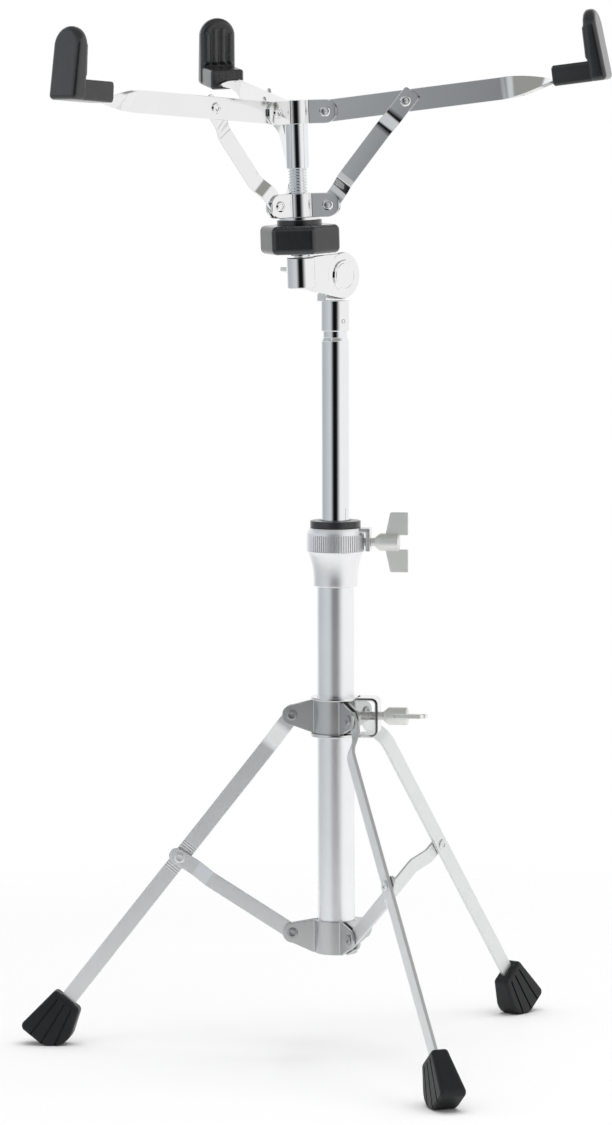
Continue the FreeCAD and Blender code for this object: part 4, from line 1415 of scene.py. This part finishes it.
class STAND_OT_arms(bpy.types.Operator):
    """Make the three twisted arms, their stays and the rivets between them"""

    bl_idname = "stand.arms"
    bl_label = "Arms and stays"

    def execute(self, context):
        basket, rivets = context.scene.stand_basket, context.scene.stand_collars
        thick = basket.arm_thickness
        arm = bar("arm_strip", [(0, 0), (basket.arm_flat, 0)], thick, basket.arm_width, True, False)
        for step in range(1, TWIST_STEPS + 1):
            at = basket.arm_flat + basket.arm_twist * step / TWIST_STEPS
            push((basket.arm_twist / TWIST_STEPS, 0, 0))
            turn("X", -90 / TWIST_STEPS, (at, 0, 0))
        push((basket.arm_end, 0, 0))
        soften(arm, STRIP_EDGE, angle=60)
        stay = self.stay(basket, context.scene.stand_legs, rivets)
        rivet = half_rivet("arm_rivet_head", (basket.to_stay, thick / 2, 0), rivets.rivet_rise, rivets)
        for k, one, brace, pin in spokes(arm, stay, rivet):
            settle(one, arm_place(k), "basket_chrome", "arm_%d" % k, "arm_%d" % k)
            settle(brace, basket_stay_place(k), "basket_chrome", "basket_stay_%d" % k, "basket_stay_%d" % k)
            settle(pin, arm_place(k), "basket_chrome", "arm_%d" % k, "arm_rivet_%d" % k)
        return {"FINISHED"}

    def stay(self, basket, legs, rivets):
        """A strip with two joggles, a squared end and the formed end of its rivet."""
        length = stay_length("basket_stay_swing_1", arm_place(1), basket.to_stay)
        thick, away = basket.stay_thickness, -basket.stay_offset
        side = -(basket.arm_thickness + thick) / 2 - legs.layer_gap
        last, end = length - basket.stay_end, length + basket.stay_tail
        path = [(0, 0), (basket.stay_tab, 0), (basket.stay_tab + basket.stay_run, away)]
        path += [(last - basket.stay_run, away), (last, side), (end, side)]
        stay = bar("basket_stay_strip", eased(path, BASKET_EASE), thick, basket.stay_width, True, False)
        pick("EDGE", lambda middle, edge: middle.x > end - 0.01 * MM and abs(middle.z) > 0.1 * MM)
        bpy.ops.mesh.bevel(offset=STAY_CORNER, segments=4, affect="EDGES")
        soften(stay, STRIP_EDGE)
        place = (length, side - thick / 2, 0)
        return join(stay, half_rivet("basket_stay_boss", place, -legs.boss_rise, rivets))


class STAND_OT_tips(bpy.types.Operator):
    """Make the three rubber tips with their ribbed inner faces"""

    bl_idname = "stand.tips"
    bl_label = "Rubber tips"

    def execute(self, context):
        tips, basket = context.scene.stand_tips, context.scene.stand_basket
        tip = plane("tip_upright")
        grow((tips.foot, 2 * tips.half_width, 1))
        slide((tips.face + tips.foot / 2, 0, -tips.below))
        push((0, 0, tips.height + tips.below + MM))
        grow((tips.head / tips.foot, 1, 1), (tips.face, 0, 0))
        centre = Vector((0, 0, tips.height - tips.half_width))
        for step in range(1, HEAD_STEPS):
            angle = math.radians(180 * step / HEAD_STEPS)
            outward = Vector((0, math.cos(angle), math.sin(angle)))
            slice_off(centre + outward * tips.half_width, outward)
        soften(tip, TIP_EDGE, segments=5, angle=45, clamp=False)
        join(tip, self.sleeve(tips, basket.arm_flat + basket.arm_twist), *self.lobes(tips))
        for k, one in spokes(tip):
            settle(one, arm_place(k), "tip_rubber", "arm_%d" % k, "tip_%d" % k)
        return {"FINISHED"}

    def sleeve(self, tips, start):
        """A block on the arm's flat end, a little smaller at its mouth."""
        sleeve = plane("tip_sleeve")
        tall = tips.above + tips.below
        middle = tips.above - tall / 2
        facing_x(2 * tips.sleeve - 2 * MM, tall - 2 * MM, (start, 0, middle))
        push((SLEEVE_MOUTH, 0, 0))
        grow((1, tips.sleeve / (tips.sleeve - MM), tall / (tall - 2 * MM)), (0, 0, middle))
        push((tips.face - start + 2 * MM, 0, 0))
        soften(sleeve, SLEEVE_EDGE, segments=4, angle=55, clamp=False)
        return sleeve

    def lobes(self, tips):
        """Rounded ribs that start above the sleeve and end inside the round head."""
        pitch = 2 * (tips.half_width - tips.margin) / tips.lobes
        low = tips.above + tips.lobe * LOBE_LOW
        ball = {"segments": LOBE_SIDES, "ring_count": LOBE_RINGS, "radius": tips.lobe}
        made = []
        for lobe in range(tips.lobes):
            y = (lobe - (tips.lobes - 1) / 2) * pitch
            top = tips.height - LOBE_CLEAR - abs(y) * tips.head / tips.half_width - tips.lobe * LOBE_TOP
            made.append(begin("tip_lobe_%d" % lobe, bpy.ops.mesh.primitive_uv_sphere_add, **ball))
            pick("VERT", lambda middle, vertex: middle.z > 0.01 * MM)
            slide((0, 0, top - low))
            bpy.ops.mesh.select_all(action="SELECT")
            slide((tips.face + tips.lobe - tips.proud, y, low))
            rest()
        return made


class STAND_OT_knob(bpy.types.Operator):
    """Make the six-sided knob that drives the lower hub"""

    bl_idname = "stand.knob"
    bl_label = "Basket knob"

    def execute(self, context):
        knob = context.scene.stand_knob
        top = (post_place().inverted() @ pivot("basket_knob_turn")).z - knob.boss_height
        body = disc("knob_body", 6, knob.width / 2 / math.cos(math.pi / 6))
        turn("Z", math.degrees(knob.phase) + 30)
        slide((0, 0, top - knob.height))
        run = knob.corner * math.tan(math.pi / 6)
        bpy.ops.mesh.bevel(offset=run, segments=6, affect="VERTICES")
        pick("FACE", lambda middle, face: True)
        push((0, 0, knob.height))
        soften(body, knob.edge, segments=5, angle=60, clamp=False)
        profile = [(knob.boss_radius, top - MM), (knob.boss_radius, top + knob.boss_height - knob.room)]
        boss = turned("knob_boss", profile, POST_SIDES)
        soften(boss, BOSS_EDGE)
        join(body, boss)
        settle(body, post_place(), "knob_plastic", "knob", "basket_knob")
        return {"FINISHED"}


class STAND_OT_finishes(bpy.types.Operator):
    """Give the nodes of the frame that stay in view their finishes"""

    bl_idname = "stand.finishes"
    bl_label = "Frame finishes"

    def execute(self, context):
        for part in frame["record"]["subparts"]:
            node = frame["nodes"][part["node"]]
            if not node.hide_render:
                node.data.materials.clear()
                node.data.materials.append(finish(part["material_slot"]))
        return {"FINISHED"}


class STAND_OT_stage(bpy.types.Operator):
    """Make the floor, the light and the camera"""

    bl_idname = "stand.stage"
    bl_label = "Stage"

    def execute(self, context):
        stage = context.scene.stand_stage
        self.floor(stage)
        self.world(stage)
        self.cards()
        self.lamp(stage)
        self.camera(stage)
        context.scene.view_settings.view_transform = "Standard"
        return {"FINISHED"}

    def floor(self, stage):
        """A pale floor that fades out, so that only the walls show in upright metal."""
        floor = disc("stage_floor", BIG_SIDES, FLOOR_RADIUS)
        rest()
        material = bpy.data.materials.new("stage_floor")
        kit = Kit(material)
        spot = kit.node("ShaderNodeTexCoord", output="Object")
        away = kit.node("ShaderNodeVectorMath", {"operation": "LENGTH"}, {0: spot}, "Value")
        cloud = kit.noise(spot, 3.0, 2.0)
        shade = kit.mix(cloud, rgba(stage.floor_colour, 0.985), rgba(stage.floor_colour))
        cover = 1.0 - kit.ramp(away, *FLOOR_FADE)
        matt = kit.node(
            "ShaderNodeBsdfPrincipled",
            {},
            {"Base Color": shade, "Roughness": 0.9, "Specular IOR Level": 0.0, "Alpha": cover},
        )
        kit.node("ShaderNodeOutputMaterial", {}, {"Surface": matt})
        floor.data.materials.append(material)

    def world(self, stage):
        """Even light all round, but plain white for camera, glossy and transmission rays."""
        world = bpy.data.worlds.new("studio")
        bpy.context.scene.world = world
        kit = Kit(world)
        even = kit.node("ShaderNodeBackground", {}, {"Color": rgba(stage.light_colour)})
        white = kit.node("ShaderNodeBackground", {}, {"Color": (1.0, 1.0, 1.0, 1.0)})
        camera, glossy, through = (
            kit.node("ShaderNodeLightPath", output="Is %s Ray" % kind)
            for kind in ("Camera", "Glossy", "Transmission")
        )
        both = kit.node("ShaderNodeMixShader", {}, {0: camera + glossy + through, 1: even, 2: white})
        kit.node("ShaderNodeOutputWorld", {}, {"Surface": both})

    def cards(self):
        """Cards far round the stand, seen in metal alone, and open on the right and behind the stand.

        They are dark round the camera, with a wall and its light window band on the left, a grey
        ground below and a grey ceiling above.
        """
        ball = {"segments": 96, "ring_count": 48, "radius": CARDS_RADIUS}
        cards = begin("stage_cards", bpy.ops.mesh.primitive_uv_sphere_add, **ball)
        rest()
        cards.visible_camera = False
        cards.visible_diffuse = False
        cards.visible_shadow = False
        material = bpy.data.materials.new("stage_cards")
        kit = Kit(material)
        spot = kit.node("ShaderNodeTexCoord", output="Object")
        toward = kit.node("ShaderNodeVectorMath", {"operation": "NORMALIZE"}, {0: spot})
        x, y, z = (kit.node("ShaderNodeSeparateXYZ", {}, {0: toward}, output) for output in range(3))
        round_about = x.math("ARCTAN2", x, 0 - y)
        turned_off = round_about.math("ABSOLUTE", round_about, 0.0)
        left_gap = kit.ramp(0 - round_about, math.radians(12), math.radians(42))
        right_gap = kit.ramp(round_about, math.radians(8), math.radians(46))
        far = kit.ramp(turned_off, math.radians(35), math.radians(110))
        behind = kit.ramp(turned_off, math.radians(120), math.radians(150))
        high = kit.ramp(z, 0.62, 0.74)
        ground = kit.ramp(0 - z, 0.1, 0.13)
        lit = kit.ramp(z, 0.38, 0.52)
        low = kit.ramp(0 - z, 0.5, 0.7)
        dark, grey, top = (0.006, 0.006, 0.006, 1.0), (0.58, 0.6, 0.6, 1.0), (0.35, 0.35, 0.33, 1.0)
        window = kit.ramp(z, 0.12, 0.18) * (1 - kit.ramp(z, 0.3, 0.36))
        wall = kit.mix(far, (0.66, 0.69, 0.72, 1.0), (0.50, 0.53, 0.56, 1.0))
        wall = kit.mix(window, wall, (0.9, 0.93, 0.98, 1.0))
        open_wall = 1 - (1 - left_gap) * (1 - lit)
        wall = kit.mix(high, kit.mix(ground, kit.mix(open_wall, dark, wall), grey), top)
        shine = kit.node("ShaderNodeEmission", {}, {"Color": wall})
        clear = kit.node("ShaderNodeBsdfTransparent")
        cover = (1 - (1 - (1 - right_gap) * (1 - behind)) * (1 - high)) * (1 - low)
        both = kit.node("ShaderNodeMixShader", {}, {0: cover, 1: clear, 2: shine})
        kit.node("ShaderNodeOutputMaterial", {}, {"Surface": both})
        cards.data.materials.append(material)

    def lamp(self, stage):
        """A wide soft lamp above the stand."""
        rest()
        bpy.ops.object.light_add(type="AREA", location=LAMP_PLACE)
        lamp = bpy.context.object
        lamp.name = "stage_lamp"
        lamp.data.size = LAMP_SIZE
        lamp.data.energy = stage.lamp_power
        lamp.visible_glossy = False

    def camera(self, stage):
        rest()
        bpy.ops.object.camera_add()
        camera = bpy.context.object
        camera.name = "stage_camera"
        yaw, pitch, roll = stage.yaw, stage.pitch, stage.roll
        ahead = Vector((math.sin(yaw) * math.cos(pitch), math.cos(yaw) * math.cos(pitch), math.sin(pitch)))
        level = Vector((math.cos(yaw), -math.sin(yaw), 0))
        above = level.cross(ahead)
        right = level * math.cos(roll) + above * math.sin(roll)
        upward = above * math.cos(roll) - level * math.sin(roll)
        camera.matrix_world = (
            Matrix.Translation(stage.camera_place) @ Matrix((right, upward, -ahead)).transposed().to_4x4()
        )
        camera.data.lens = stage.focal_pixels * camera.data.sensor_width / stage.picture_height
        bpy.context.scene.camera = camera


PIECES = (
    STAND_OT_tubes,
    STAND_OT_collars,
    STAND_OT_legs,
    STAND_OT_feet,
    STAND_OT_clamp,
    STAND_OT_wings,
    STAND_OT_tilter,
    STAND_OT_post,
    STAND_OT_hubs,
    STAND_OT_arms,
    STAND_OT_tips,
    STAND_OT_knob,
    STAND_OT_finishes,
    STAND_OT_stage,
)
SETTINGS = {
    "stand_tubes": TubeSizes,
    "stand_collars": CollarSizes,
    "stand_legs": LegSizes,
    "stand_feet": FootSizes,
    "stand_clamp": ClampSizes,
    "stand_wings": WingSizes,
    "stand_tilter": TilterSizes,
    "stand_basket": BasketSizes,
    "stand_knob": KnobSizes,
    "stand_tips": TipSizes,
    "stand_finishes": FinishColours,
    "stand_stage": StageSettings,
}


class STAND_PT_pieces(bpy.types.Panel):
    """Lists the pieces and their sizes"""

    bl_idname = "STAND_PT_pieces"
    bl_label = "Snare drum stand"
    bl_space_type = "VIEW_3D"
    bl_region_type = "UI"
    bl_category = "Stand"

    def draw(self, context):
        for piece in PIECES:
            self.layout.operator(piece.bl_idname)
        for name, group in SETTINGS.items():
            box = self.layout.box()
            box.label(text=name.replace("_", " ").capitalize())
            for value in group.__annotations__:
                box.prop(getattr(context.scene, name), value)


def register():
    for group in SETTINGS.values():
        bpy.utils.register_class(group)
    for name, group in SETTINGS.items():
        setattr(bpy.types.Scene, name, PointerProperty(type=group))
    for piece in PIECES:
        bpy.utils.register_class(piece)
    bpy.utils.register_class(STAND_PT_pieces)


def unregister():
    bpy.utils.unregister_class(STAND_PT_pieces)
    for piece in reversed(PIECES):
        bpy.utils.unregister_class(piece)
    for name, group in SETTINGS.items():
        delattr(bpy.types.Scene, name)
        bpy.utils.unregister_class(group)


def main():
    register()
    for piece in PIECES:
        family, name = piece.bl_idname.split(".")
        getattr(getattr(bpy.ops, family), name)()


if __name__ == "__main__":
    main()
